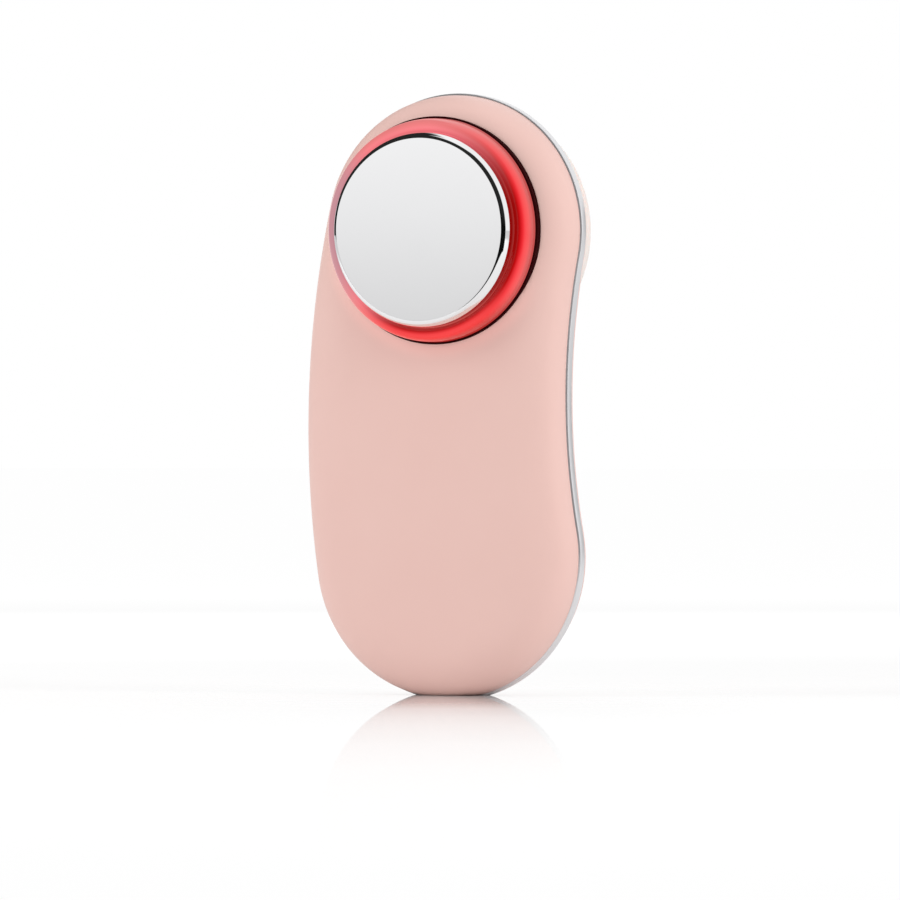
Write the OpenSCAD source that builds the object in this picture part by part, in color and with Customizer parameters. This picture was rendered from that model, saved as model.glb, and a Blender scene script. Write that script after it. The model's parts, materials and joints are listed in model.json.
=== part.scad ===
// Hand-held facial cleansing brush: a warm massage plate with a red light ring on the front,
// a silicone brush pad on the back of the head, and a bean-shaped grip that stands on its end.
// +Z runs from the base up to the head. The massage plate faces -Y and the brush pad faces +Y.
// The origin is the centre of the base flat, in the middle of the trim band's width.

/* [Outline] */
// Radius of the head's outline
head_r = 27.2; // [26.7:0.1:27.7]
// Height of the head's axis above the base
head_z = 92.7; // [92:0.1:97]
// Sideways offset of the head from the grip's lower end
head_x = 1.4; // [0:0.1:3]
// Radius of the grip's lower end
lobe_r = 28.3; // [27:0.1:29.5]
// Width of the flat that the grip stands on
base_flat_w = 12.4; // [8:0.2:13]
// Radius of the long outward curve on the left side
back_r = 202; // [180:2:400]
// Radius of the hollow in the right side
waist_r = 148; // [100:2:220]

/* [Shells] */
// Depth of the front shell, from its joint to its face
front_depth = 9.5; // [9.3:0.1:11]
// Width of the front shell's rounded edge
front_edge = 12; // [11:0.2:13]
// Squareness of the front shell's edge, where 2 is an ellipse
front_power = 2.5; // [2.1:0.1:3]
// Depth of the rear shell, from its joint to its face
rear_depth = 10.2; // [10:0.1:12]
// Width of the rear shell's rounded edge
rear_edge = 16; // [14:0.5:16.5]
// Squareness of the rear shell's edge, where 2 is an ellipse
rear_power = 1.8; // [1.7:0.1:2.4]
// Wall of both shells
shell_wall = 1.8; // [1.5:0.1:2.1]
// Width of the trim band between the shells
band_w = 2.4; // [2:0.1:3]
// How far the trim band stands out of the shells
band_proud = 0.4; // [0.2:0.05:0.7]
// Thickness of the gasket inside the trim band
gasket_t = 0.8; // [0.5:0.1:1.2]

/* [Massage head] */
// Radius of the black seal round the light ring
seal_r = 22.45; // [22:0.05:23]
// How far the seal stands out of the front shell's face
seal_proud = 0.9; // [0.4:0.1:1.6]
// Wall of the seal
seal_wall = 0.9; // [0.7:0.1:1.2]
// How far the light ring rises from the seal
ring_rise = 4.3; // [3.6:0.1:4.8]
// Step from the seal's outside to the light ring's outside
ring_step = 0.2; // [0.1:0.05:0.5]
// Width of the light ring, from the massage plate to the seal's outside
ring_w = 3.05; // [2.9:0.05:3.6]
// How far the massage plate's face stands out past the light ring
plate_proud = 2.8; // [2:0.1:3.4]
// Radius of the massage plate's rounded rim
plate_rim_r = 1.3; // [1:0.05:1.9]
// Thickness of the massage plate
plate_t = 0.7; // [0.6:0.1:1.4]
// Wall of the massage plate's skirt
skirt_wall = 0.7; // [0.6:0.1:1.2]
// Depth of the massage plate's skirt, measured from its face
plate_skirt = 5.4; // [4.5:0.1:6.5]
// Depth of the head's well, measured from the front shell's face
well_drop = 4.3; // [4:0.1:4.6]
// Thickness of the well's floor
well_floor = 1.6; // [1.2:0.1:1.8]
// Radius of the opening in the well's floor
well_hole_r = 11.5; // [10:0.5:12]
// Thickness of the heating film
film_t = 0.3; // [0.2:0.1:0.5]
// Wall of the plate's carrier
carrier_wall = 1.8; // [1.4:0.1:2]
// Thickness of the light ring's circuit board
ring_board_t = 1; // [0.8:0.1:1.2]
// Number of red lamps in the light ring
ring_lamps = 12; // [8:1:16]
// Length of a lamp along the ring
ring_lamp_w = 2.8; // [2:0.1:3.2]
// Height of a lamp
ring_lamp_h = 0.8; // [0.6:0.1:1]

/* [Brush pad] */
// Radius of the brush pad
pad_r = 25.5; // [25:0.1:26]
// Height of the pad's seat above the rear shell's joint
seat_rise = 1; // [0.8:0.1:1.4]
// Height of the brush pad above its seat
pad_h = 10.3; // [9.9:0.1:11]
// Width of the pad's rounded edge
pad_edge_w = 7; // [4:0.1:7.4]
// Depth of the pad's rounded edge
pad_edge_d = 6; // [3.5:0.1:6.2]
// Radius of the raised platform under the pad
platform_r = 18.6; // [18.2:0.1:18.8]
// Height of the platform above the seat
platform_h = 7.4; // [7.2:0.1:7.8]
// Thickness of the frame that stiffens the pad's rim
frame_t = 1.2; // [1:0.1:1.5]
// Height of the fine brush nubs
nub_h = 2.5; // [1.5:0.1:3.5]
// Radius of a fine nub at its root
nub_r = 0.75; // [0.5:0.05:0.9]
// Radius of a fine nub at its tip
nub_tip_r = 0.45; // [0.3:0.05:0.5]
// Number of rings of fine nubs round the middle one
nub_rings = 6; // [3:1:7]
// Spacing of the rings of fine nubs
nub_pitch = 2.9; // [2.4:0.1:3]
// Radius of the stout nubs round the pad's edge
stout_r = 1.1; // [0.8:0.1:1.2]
// Distance of the stout nubs from the pad's outside
stout_inset = 4.2; // [3.8:0.1:4.6]
// Number of stout nubs
stout_count = 30; // [20:1:36]

/* [Motor] */
// Radius of the motor can
motor_r = 5; // [4.5:0.1:5.2]
// Length of the motor can
motor_l = 15; // [13:0.5:16]
// Height of the motor's lower end above the base
motor_z = 80; // [79:0.5:81]
// Wall of the motor can
motor_wall = 0.5; // [0.4:0.1:0.7]
// Radius of the motor shaft
shaft_r = 0.75; // [0.5:0.05:1]
// Radius of the eccentric weight
weight_r = 4.2; // [3.5:0.1:4.6]
// Length of the eccentric weight
weight_l = 6; // [4:0.5:7]
// Wall of the rubber sleeve on the motor
sleeve_t = 0.7; // [0.5:0.1:0.8]
// Thickness of the two ribs that carry the motor
cradle_t = 2; // [1.5:0.1:3]

/* [Controls] */
// Height of the power button above the base
power_z = 49; // [48:0.5:50]
// Radius of the power button
power_r = 5.3; // [4.5:0.1:5.6]
// Height of the mode button above the base
mode_z = 35; // [34:0.5:35.5]
// Radius of the mode button
mode_r = 4.2; // [3.5:0.1:4.6]
// How far the buttons stand out of the rear shell
button_proud = 0.5; // [0.4:0.05:0.9]
// Travel of the buttons
button_travel = 0.4; // [0.2:0.05:0.4]
// Thickness and overhang of the flange that keeps a button in its hole
button_flange = 1; // [0.8:0.1:1.2]
// Width of a switch body
switch_w = 6; // [5:0.1:6.2]
// Radius of a switch plunger
plunger_r = 1.75; // [1.2:0.05:1.8]
// Height of the row of indicator lamps above the base
indicator_z = 60; // [59.5:0.1:60.5]
// Spacing of the indicator lamps
indicator_pitch = 4; // [3.5:0.1:4.5]
// Radius of a light pipe
pipe_r = 0.9; // [0.6:0.05:1]

/* [Circuit board and cell] */
// Width of the main board
board_w = 26; // [25:0.5:27]
// Thickness of the main board
board_t = 1.6; // [1:0.1:1.6]
// Height of the main board's lower edge above the base
board_z0 = 11; // [10.5:0.1:11.5]
// Height of the main board's upper edge above the base
board_z1 = 62.2; // [61.8:0.1:62.4]
// Height of the switches over the main board
switch_h = 3.5; // [3.2:0.1:3.6]
// Width of the lithium cell
cell_w = 25; // [20:0.5:26]
// Thickness of the lithium cell
cell_t = 6; // [4:0.1:6.2]
// Length of the lithium cell
cell_l = 35; // [30:0.5:36]
// Height of the cell's lower end above the base
cell_z = 23; // [22:0.5:24]
// Thickness of the foam behind the cell
foam_t = 0.5; // [0.3:0.1:0.8]

/* [Charging port] */
// Height of the charging socket above the base
port_z = 20.2; // [20:0.1:20.5]
// Width of the charging socket's steel shell
socket_w = 8.94; // [8.5:0.01:9]
// Height of the charging socket's steel shell
socket_h = 3.26; // [3:0.01:3.4]
// Thickness of the port cover
cover_t = 1.5; // [1.3:0.1:1.6]
// Width of the port cover
cover_w = 12.6; // [12:0.1:13]
// Height of the port cover below its hinge
cover_l = 5.8; // [5.4:0.1:6]
// Radius of the port cover's hinge pins
hinge_pin_r = 0.4; // [0.3:0.05:0.45]

/* [Screws] */
// Radius of the case screws
case_screw_r = 0.95; // [0.8:0.05:1.1]
// Radius of the small screws
small_screw_r = 0.8; // [0.6:0.05:0.9]
// Distance of the head's case screws from its axis
head_screw_r = 20.6; // [20.5:0.1:20.7]
// Sideways distance of the grip's case screws
grip_screw_x = 17; // [16.8:0.1:17.4]
// Height of the grip's case screws above the base
grip_screw_z = 25; // [24:0.5:27]
// Wall of a screw boss round its hole
boss_wall = 1.6; // [1.4:0.1:1.7]

/* [Clearances] */
// Gap round a fixed piece in its seat
seat_gap = 0.05; // [0.03:0.01:0.08]
// Gap round a button, cover or plug in its hole
loose_gap = 0.2; // [0.15:0.01:0.25]
// Radial gap of a shaft, pin or plunger in its bore
running_gap = 0.04; // [0.02:0.01:0.06]
// Gap round a rotating weight or under a light pipe
free_gap = 0.3; // [0.2:0.05:0.4]

/* [Hidden] */
$fn = 64;

// Colours of the finishes
pink = "#E8C1B8";
silicone = "#EADFD8";
chrome = "#D8D9DB";
red = "#FF3030";
black = "#1E1216";
steel = "#B4B6B8";
copper = "#B87333";
board_green = "#2F6B46";
white_plastic = "#E9E9E4";
rubber = "#2A2A2C";

// Steps along each arc of the outline and round each shell's edge
lobe_steps = 17;
side_steps = 8;
head_steps = 18;
edge_steps = 8;
cavity_steps = 6;
// Points on one side of the outline
side_points = lobe_steps + side_steps + 1 + head_steps;
// Small overlap that makes two pieces of one solid merge
merge = 0.4;
// How far a cut runs past the surface that it opens
cut = 1;
// Depth below a shell's surface at which an inner block ends
skin_margin = 0.3;

// The four arcs of the outline
lobe_z = sqrt(lobe_r * lobe_r - base_flat_w * base_flat_w / 4);
lobe_centre = [0, lobe_z];
head_centre = [head_x, head_z];
back_centre = circle_cross(lobe_centre, back_r - lobe_r, head_centre, back_r - head_r);
waist_centre = circle_cross(lobe_centre, waist_r + lobe_r, head_centre, waist_r + head_r);

// Planes of the two shells, all as Y
front_joint = -band_w / 2;
rear_joint = band_w / 2;
front_face = front_joint - front_depth;
rear_face = rear_joint + rear_depth;
front_inside = front_face + shell_wall;
rear_inside = rear_face - shell_wall;

// Planes and radii of the massage head
plate_r = seal_r - ring_w;
seal_front = front_face - seal_proud;
ring_front = seal_front - ring_rise;
plate_front = ring_front - plate_proud;
well_r = seal_r + seat_gap;
well_front = front_face + well_drop;
well_rear = well_front + well_floor;
ring_board_front = well_front - ring_board_t;
lamp_front = ring_board_front - ring_lamp_h;
skirt_end = plate_front + plate_skirt;
film_front = plate_front + plate_t;
carrier_front = film_front + film_t;
carrier_r = plate_r - skirt_wall - seat_gap;
carrier_flange_t = 1;
ring_in_r = plate_r + seat_gap;
ring_out_r = seal_r - ring_step;
ring_foot_r = seal_r - seal_wall - seat_gap;
ring_step_y = seal_front + 1;
lamp_circle_r = (ring_in_r + ring_foot_r) / 2;
carrier_screw_circle_r = carrier_r - carrier_wall - small_screw_r - boss_wall / 2;

// Planes and radii of the brush head
pad_seat = rear_joint + seat_rise;
seat_inside = pad_seat - shell_wall;
pad_well_r = head_r + loose_gap + 0.1;
platform_face = pad_seat + platform_h;
platform_inside = platform_face - shell_wall;
platform_cavity_r = platform_r - shell_wall;
pad_face = pad_seat + pad_h;
pad_wall = 1.2;
frame_r = pad_r - pad_wall;
nub_root = 1.6;
stout_circle_r = pad_r - stout_inset;

// Screws
screw_head_h = 1.2;
case_head_r = 2 * case_screw_r;
small_head_r = 1.8 * small_screw_r;
case_boss_r = case_screw_r + boss_wall;
small_boss_r = small_screw_r + boss_wall;
case_head_seat = pad_seat - screw_head_h - 0.1;
case_boss_joint = seat_inside - 1.5;
screw_thread = 0.02;
head_screw_l = 5;
grip_screw_l = 13;
screw_grip = 4;
head_screw_angles = [90, 210, 330];
carrier_screw_angles = [0, 120, 240];
grip_head_seat = rear_inside - 2;
grip_plug_h = 1.6;

// Motor
motor_y = (well_rear + platform_inside) / 2;
sleeve_r = motor_r + sleeve_t;
motor_top = motor_z + motor_l;
motor_ribs_at = [motor_z + 1 + cradle_t / 2, motor_top - 1 - cradle_t / 2];
end_cap_h = 1.5;
can_end_t = 2;
bearing_floor = 0.5;
winding_z = motor_z + end_cap_h + 1;
winding_top = motor_top - can_end_t - 2;
weight_z = motor_top + 1.5;
shaft_z = motor_z + bearing_floor + 0.2;
shaft_top = weight_z + weight_l + 0.5;
armature_r = motor_r - motor_wall - 1.4;

// Main board, switches and cell
stem_end = rear_inside - button_flange - 0.8;
plunger_over = 1.5;
board_rear = stem_end - plunger_over - switch_h;
board_front = board_rear - board_t;
switch_front = board_rear + switch_h;
board_corner = 3;
board_screw_drop = 10;
board_screws_at = [
    [-board_w / 2 + board_corner, board_z1 - board_screw_drop],
    [board_w / 2 - board_corner, board_z1 - board_screw_drop],
    [0, board_z0 + board_corner]
];
cell_front = front_inside + foam_t;
cell_rear = cell_front + cell_t;
cell_top = cell_z + cell_l;
controller_at = [-5, 44];
capacitor_at = [6, 44];
charger_at = [5.5, 27];
inductor_at = [-5.5, 27];
indicator_lamp_h = 0.7;
protection_t = 1.6;
protection_inset = [2, 1.5];
pipe_bar_h = 1.2;
pipe_bar_t = 1.2;
pipe_bar_over = 1.5;
connector_h = 3;
connector_w = 4;
connector_drop = 3.6;
connector_top = board_z1 - connector_drop;
lead_y = board_front - connector_h / 2;
cell_middle = (cell_front + cell_rear) / 2;
wire_r = 0.45;
wire_gap = 0.9;
motor_lead_drop = 2;
cell_lead_rise = 3.5;
heater_lead_drop = 5;
cell_lead_x = -5;
heater_lead_gap = 1.5;
heater_lead_x = head_x + sleeve_r + heater_lead_gap;

// Charging port
cover_floor = rear_face - cover_t - 0.1;
hinge_y = rear_face - cover_t / 2;
hinge_z = port_z + cover_l / 2 + 0.4;
cover_bottom = hinge_z - cover_l;
barrel_r = cover_t / 2;
hinge_pin_l = 0.9;
recess_gap_top = 0.35;
socket_mouth = cover_floor - 0.2;
port_block_t = 1.6;
port_margin = 1.8;
socket_floor = 1;

// Point where two circles cross, on the right of the line from the first centre to the second
function circle_cross(a, ra, b, rb) =
    let (d = norm(b - a), u = (b - a) / d, along = (ra * ra - rb * rb + d * d) / (2 * d))
    a + along * u + sqrt(ra * ra - along * along) * [u.y, -u.x];

// Direction from one point to another, in degrees from 0 to 360
function heading(from, to) =
    let (a = atan2(to.y - from.y, to.x - from.x))
    a < 0 ? a + 360 : a;

function on_circle(centre, r, a) = centre + r * [cos(a), sin(a)];

// Points between two angles of an arc. The ends are in it if whole is true, else half a step away
function arc_points(centre, r, a0, a1, steps, whole) =
    whole ? [for (k = [0:steps]) on_circle(centre, r, a0 + (a1 - a0) * k / steps)]
          : [for (k = [0:steps - 1]) on_circle(centre, r, a0 + (a1 - a0) * (k + 0.5) / steps)];

// The hollow right side, from the bottom up, moved inwards by an inset
function right_side(inset) =
    let (low = heading(lobe_centre, waist_centre), high = heading(head_centre, waist_centre))
    concat(
        arc_points(lobe_centre, lobe_r - inset, -90, low, lobe_steps, false),
        arc_points(waist_centre, waist_r + inset, low + 180, high - 180, side_steps, true),
        arc_points(head_centre, head_r - inset, high - 360, 90, head_steps, false)
    );

// The full left side, from the bottom up, moved inwards by an inset
function left_side(inset) =
    let (low = heading(back_centre, lobe_centre), high = heading(back_centre, head_centre))
    concat(
        arc_points(lobe_centre, lobe_r - inset, 270, low, lobe_steps, false),
        arc_points(back_centre, back_r - inset, low, high, side_steps, true),
        arc_points(head_centre, head_r - inset, high, 90, head_steps, false)
    );

// The outline as one loop: up the right side and down the left
function outline(inset) =
    let (left = left_side(inset))
    concat(right_side(inset), [for (i = [side_points - 1:-1:0]) left[i]]);

// One ring of a shell's skin: the outline at an inset, laid at a depth
function ring_at(inset, y) = [for (p = outline(inset)) [p.x, y, p.y]];

// Rings up a rounded edge, as pairs of inset and Y
function edge_levels(edge, depth, power, steps, start_inset, y, way) = [
    for (k = [0:steps])
        let (t = 90 * k / steps)
        [start_inset + edge * (1 - pow(cos(t), 2 / power)), y + way * depth * pow(sin(t), 2 / power)]
];

// Quads, as two triangles each, between ring a and ring b of n points
function between_rings(a, b, n) = [
    for (i = [0:n - 1])
        let (j = (i + 1) % n)
        each [[a * n + i, a * n + j, b * n + j], [a * n + i, b * n + j, b * n + i]]
];

// Strips across ring a from its right side to its left
function across_ring(a, n) = [
    for (i = [0:n / 2 - 2])
        let (r0 = a * n + i, r1 = r0 + 1, l0 = a * n + n - 1 - i, l1 = l0 - 1)
        each [[r0, r1, l1], [r0, l1, l0]]
];

function reversed(faces) = [for (f = faces) [f[2], f[1], f[0]]];

function skin_rings(levels) = [for (v = levels) each ring_at(v[0], v[1])];

// Solid dome of a shell's outside. The rings go from its joint to its face, in the direction way
module dome(levels, way) {
    n = 2 * side_points;
    last = len(levels) - 1;
    faces = concat(
        [for (k = [0:last - 1]) each between_rings(k, k + 1, n)],
        across_ring(last, n),
        reversed(across_ring(0, n))
    );
    polyhedron(skin_rings(levels), way > 0 ? faces : reversed(faces));
}

// Hollow cup of a shell: its outside levels, then its inside levels from the face back to the joint
module cup(outside, inside, way) {
    n = 2 * side_points;
    m = len(outside) - 1;
    last = m + len(inside);
    faces = concat(
        [for (k = [0:last - 1]) if (k != m) each between_rings(k, k + 1, n)],
        between_rings(last, 0, n),
        across_ring(m, n),
        reversed(across_ring(m + 1, n))
    );
    polyhedron(skin_rings(concat(outside, inside)), way > 0 ? faces : reversed(faces));
}

// Closed loop that follows the outline, from a section of inset and Y pairs
module loop_band(section) {
    n = 2 * side_points;
    m = len(section);
    polyhedron(skin_rings(section), [for (k = [0:m - 1]) each between_rings(k, (k + 1) % m, n)]);
}

function flipped(list) = [for (i = [len(list) - 1:-1:0]) list[i]];

// Places its children at a point, with their Z axis along +Y
module along_y(x, y, z) translate([x, y, z]) rotate([-90, 0, 0]) children();

// Round rod along Y
module rod_y(x, z, y0, y1, r) along_y(x, y0, z) cylinder(h = y1 - y0, r = r);

// Round tube along Y
module tube_y(x, z, y0, y1, r, bore) {
    difference() {
        rod_y(x, z, y0, y1, r);
        rod_y(x, z, y0 - cut, y1 + cut, bore);
    }
}

// Solid turned round the head's axis, from a profile of radius and Y pairs
module turned_on_head(profile) along_y(head_x, 0, head_z) rotate_extrude() polygon(profile);

// Box between two corners
module box(low, high) translate(low) cube(high - low);

// Places its children round the head's axis
module at_angle(r, a) translate([head_x + r * cos(a), 0, head_z + r * sin(a)]) children();

// Everything below the base flat
module below_base() translate([-head_z, -head_z, -2 * head_z]) cube(2 * head_z);

// Screw along Y with its head at y_head: way is -1 where the shank points to the front
module screw_y(x, z, y_head, way, length, r, head_radius) {
    head_end = y_head - way * screw_head_h;
    tip = y_head + way * length;
    rod_y(x, z, min(y_head, head_end), max(y_head, head_end), head_radius);
    rod_y(x, z, min(y_head, tip), max(y_head, tip), r);
}

// Wire through a list of points, with a ball at each inner bend
module wire(points) {
    for (i = [0:len(points) - 2])
        let (a = points[i], b = points[i + 1], d = b - a, l = norm(d))
            translate(a) rotate([0, acos(d.z / l), atan2(d.y, d.x)]) cylinder(h = l, r = wire_r, $fn = 24);
    for (i = [1:len(points) - 2])
        translate(points[i]) sphere(r = wire_r, $fn = 24);
}

front_outside = edge_levels(front_edge, front_depth, front_power, edge_steps, 0, front_joint, -1);
front_cavity = edge_levels(
    front_edge, front_depth - shell_wall, front_power, cavity_steps, shell_wall, front_joint, -1
);
rear_outside = edge_levels(rear_edge, rear_depth, rear_power, edge_steps, 0, rear_joint, 1);
// The same dome, kept just under the rear shell's surface
rear_core = edge_levels(
    rear_edge, rear_depth - skin_margin, rear_power, edge_steps, skin_margin, rear_joint, 1
);
rear_cavity = edge_levels(
    rear_edge, rear_depth - shell_wall, rear_power, cavity_steps, shell_wall, rear_joint, 1
);

// Front casing: soft-touch shell with the round well that holds the massage head
module front_shell() {
    color(pink)
    difference() {
        union() {
            cup(front_outside, flipped(front_cavity), -1);
            well_block();
            for (a = head_screw_angles)
                at_angle(head_screw_r, a) rod_y(0, 0, well_rear - merge, case_boss_joint, case_boss_r);
            for (s = [-1, 1])
                rod_y(s * grip_screw_x, grip_screw_z, front_inside - merge, front_joint, case_boss_r);
        }
        rod_y(head_x, head_z, front_face - cut, well_front, well_r);
        rod_y(head_x, head_z, front_face - cut, well_rear + cut, well_hole_r);
        thread_r = case_screw_r + screw_thread;
        for (a = head_screw_angles)
            at_angle(head_screw_r, a) rod_y(0, 0, well_rear + 0.4, case_boss_joint + cut, thread_r);
        for (s = [-1, 1])
            rod_y(s * grip_screw_x, grip_screw_z, front_inside + 2, front_joint + cut, thread_r);
        for (a = carrier_screw_angles)
            at_angle(carrier_screw_circle_r, a)
                rod_y(0, 0, well_front - cut, well_rear + cut, small_screw_r + loose_gap);
        below_base();
    }
}

// Block that the head's well is cut from, just under the front shell's surface
module well_block() {
    intersection() {
        turned_on_head(concat(
            [[0, front_joint]],
            [for (v = front_outside) [head_r - v[0] - skin_margin, v[1] + skin_margin]],
            [[0, front_face + skin_margin]]
        ));
        rod_y(head_x, head_z, front_face, well_rear, head_r);
    }
}

// Rear casing: carries the brush pad, the buttons, the board and the charging port
module rear_shell() {
    color(pink)
    difference() {
        union() {
            difference() {
                union() {
                    cup(rear_outside, flipped(rear_cavity), 1);
                    intersection() {
                        dome(rear_core, 1);
                        rod_y(head_x, head_z, seat_inside, rear_face + cut, pad_well_r + shell_wall);
                    }
                }
                rod_y(head_x, head_z, pad_seat, rear_face + cut, pad_well_r);
            }
            rod_y(head_x, head_z, seat_inside, platform_face, platform_r);
            for (a = head_screw_angles)
                at_angle(head_screw_r, a) rod_y(0, 0, case_boss_joint, pad_seat, case_boss_r);
            for (s = [-1, 1])
                rod_y(s * grip_screw_x, grip_screw_z, front_joint, rear_inside + merge, case_boss_r + 0.8);
            for (p = board_screws_at)
                rod_y(p.x, p.y, board_rear, rear_inside + merge, small_boss_r);
            port_block();
            for (z = motor_ribs_at)
                motor_rib(z);
        }
        motor_hollow();
        for (a = head_screw_angles)
            at_angle(head_screw_r, a) case_screw_hole(case_boss_joint - cut, case_head_seat, pad_seat + cut);
        for (s = [-1, 1])
            translate([s * grip_screw_x, 0, grip_screw_z])
                case_screw_hole(front_joint - cut, grip_head_seat, rear_face + cut);
        for (p = board_screws_at)
            rod_y(p.x, p.y, board_rear - cut, rear_inside, small_screw_r + screw_thread);
        rod_y(0, power_z, rear_inside - cut, rear_face + cut, power_r + loose_gap);
        rod_y(0, mode_z, rear_inside - cut, rear_face + cut, mode_r + loose_gap);
        for (k = [-1:1])
            rod_y(k * indicator_pitch, indicator_z, rear_inside - cut, rear_face + cut, pipe_r + seat_gap);
        port_hollow();
        below_base();
    }
}

// Clearance hole and head pocket for a case screw that is driven from the back
module case_screw_hole(y0, y_seat, y1) {
    rod_y(0, 0, y0, y_seat + 0.1, case_screw_r + loose_gap);
    rod_y(0, 0, y_seat, y1, case_head_r + loose_gap);
}

// Rib in the head that the motor's sleeve lies in
module motor_rib(z) {
    rib_x = sleeve_r + 2;
    half_t = cradle_t / 2;
    box([head_x - rib_x, motor_y, z - half_t], [head_x + rib_x, platform_inside + merge, z + half_t]);
}

// Room in the head for the motor, between its ribs and inside the platform
module motor_hollow() {
    difference() {
        rod_y(head_x, head_z, seat_inside - cut, platform_inside, platform_cavity_r);
        for (z = motor_ribs_at)
            motor_rib(z);
    }
    translate([head_x, motor_y, motor_z - 1]) cylinder(h = motor_l + 2, r = sleeve_r + seat_gap);
}

// Thicker wall behind the charging port
module port_block() {
    box(
        [-cover_w / 2 - hinge_pin_l - 1.3, rear_inside - port_block_t, cover_bottom - port_margin],
        [cover_w / 2 + hinge_pin_l + 1.3, rear_inside + merge, hinge_z + barrel_r + port_margin]
    );
}

// Recess for the port cover, its hinge sockets and the slot for the charging socket
module port_hollow() {
    box(
        [-cover_w / 2 - loose_gap, cover_floor, cover_bottom - loose_gap],
        [cover_w / 2 + loose_gap, rear_face + cut, hinge_z + barrel_r + recess_gap_top]
    );
    hinge_half = cover_w / 2 + hinge_pin_l + loose_gap;
    translate([-hinge_half, hinge_y, hinge_z])
        rotate([0, 90, 0]) cylinder(h = 2 * hinge_half, r = hinge_pin_r + running_gap);
    stadium_y(
        port_z, rear_inside - port_block_t - cut, cover_floor + cut,
        socket_w + 2 * loose_gap, socket_h + 2 * loose_gap
    );
}

// Slot with round ends, centred on X = 0 and running along Y
module stadium_y(z, y0, y1, w, h) {
    for (s = [-1, 1])
        rod_y(s * (w - h) / 2, z, y0, y1, h / 2);
    box([-(w - h) / 2, y0, z - h / 2], [(w - h) / 2, y1, z + h / 2]);
}

// Chromed band that covers the joint all the way round
module trim_band() {
    round_off = band_w / 6;
    color(chrome)
    difference() {
        loop_band([
            [shell_wall, front_joint],
            [-band_proud / 3, front_joint],
            [-band_proud, front_joint + round_off],
            [-band_proud, rear_joint - round_off],
            [-band_proud / 3, rear_joint],
            [shell_wall, rear_joint]
        ]);
        below_base();
    }
}

// Soft gasket that lines the band and keeps water out
module case_gasket() {
    outer = shell_wall + seat_gap;
    color(rubber)
    loop_band([
        [outer + gasket_t, front_joint],
        [outer, front_joint],
        [outer, rear_joint],
        [outer + gasket_t, rear_joint]
    ]);
}

// Chromed massage plate: a shallow cup with a flat face and a rounded rim
module massage_plate() {
    skirt_bore = carrier_r + seat_gap;
    rim = [
        for (a = [90:-10:0])
            [plate_r - plate_rim_r + plate_rim_r * cos(a), plate_front + plate_rim_r - plate_rim_r * sin(a)]
    ];
    color(chrome)
    turned_on_head(concat(
        [[0, plate_front]],
        rim,
        [[plate_r, skirt_end], [skirt_bore, skirt_end], [skirt_bore, film_front], [0, film_front]]
    ));
}

// Translucent ring that glows red round the plate
module light_ring() {
    bulge = [
        for (t = [0:10:90])
            let (c = pow(cos(t), 2 / 3), s = pow(sin(t), 2 / 3))
            [ring_in_r + (ring_out_r - ring_in_r) * c, seal_front - ring_rise * s]
    ];
    color(red)
    turned_on_head(concat(
        bulge,
        [
            [ring_in_r, lamp_front - seat_gap],
            [ring_foot_r, lamp_front - seat_gap],
            [ring_foot_r, ring_step_y],
            [ring_out_r, ring_step_y]
        ]
    ));
}

// Black seal: the wall between the pink shell and the red ring
module ring_seal() {
    color(black)
    turned_on_head([
        [seal_r - seal_wall, ring_board_front],
        [seal_r, ring_board_front],
        [seal_r, seal_front],
        [ring_out_r + seat_gap, seal_front],
        [ring_out_r + seat_gap, ring_step_y],
        [seal_r - seal_wall, ring_step_y]
    ]);
}

// Insulating carrier: the plate snaps over it, and it stands on the well's floor
module plate_carrier() {
    bore = carrier_r - carrier_wall;
    color(white_plastic)
    difference() {
        union() {
            rod_y(head_x, head_z, carrier_front, well_front, carrier_r);
            rod_y(head_x, head_z, skirt_end, skirt_end + carrier_flange_t, plate_r - seat_gap);
        }
        difference() {
            rod_y(head_x, head_z, carrier_front + carrier_wall, well_front + cut, bore);
            for (a = carrier_screw_angles)
                at_angle(carrier_screw_circle_r, a)
                    rod_y(0, 0, carrier_front + 1, well_front + cut, small_boss_r);
        }
        for (a = carrier_screw_angles)
            at_angle(carrier_screw_circle_r, a)
                rod_y(0, 0, carrier_front + 2, well_front + cut, small_screw_r + screw_thread);
        rod_y(head_x, head_z, carrier_front - cut, carrier_front + carrier_wall + cut, 3);
    }
}

// Thin heating film on the back of the plate
module heating_film() {
    color(copper) rod_y(head_x, head_z, film_front, carrier_front, carrier_r - 1.5);
}

// Temperature sensor bead in the middle of the heating film
module thermistor() {
    color(black) rod_y(head_x, head_z, carrier_front, carrier_front + 1.4, 1.1);
}

// Ring-shaped board that carries the red lamps
module ring_board() {
    color(white_plastic)
    tube_y(head_x, head_z, ring_board_front, well_front, seal_r - seat_gap, carrier_r + loose_gap);
}

// Red lamps under the light ring
module ring_lamps_red() {
    depth = ring_foot_r - ring_in_r - 0.1;
    color(red)
    for (k = [0:ring_lamps - 1])
        translate([head_x, lamp_front, head_z])
            rotate([0, k * 360 / ring_lamps, 0])
                translate([lamp_circle_r - depth / 2, 0, -ring_lamp_w / 2])
                    cube([depth, ring_lamp_h, ring_lamp_w]);
}

// Three screws that pull the carrier onto the well's floor
module carrier_screws() {
    color(steel)
    for (a = carrier_screw_angles)
        at_angle(carrier_screw_circle_r, a)
            screw_y(0, 0, well_rear, -1, well_floor + screw_grip, small_screw_r, small_head_r);
}

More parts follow.
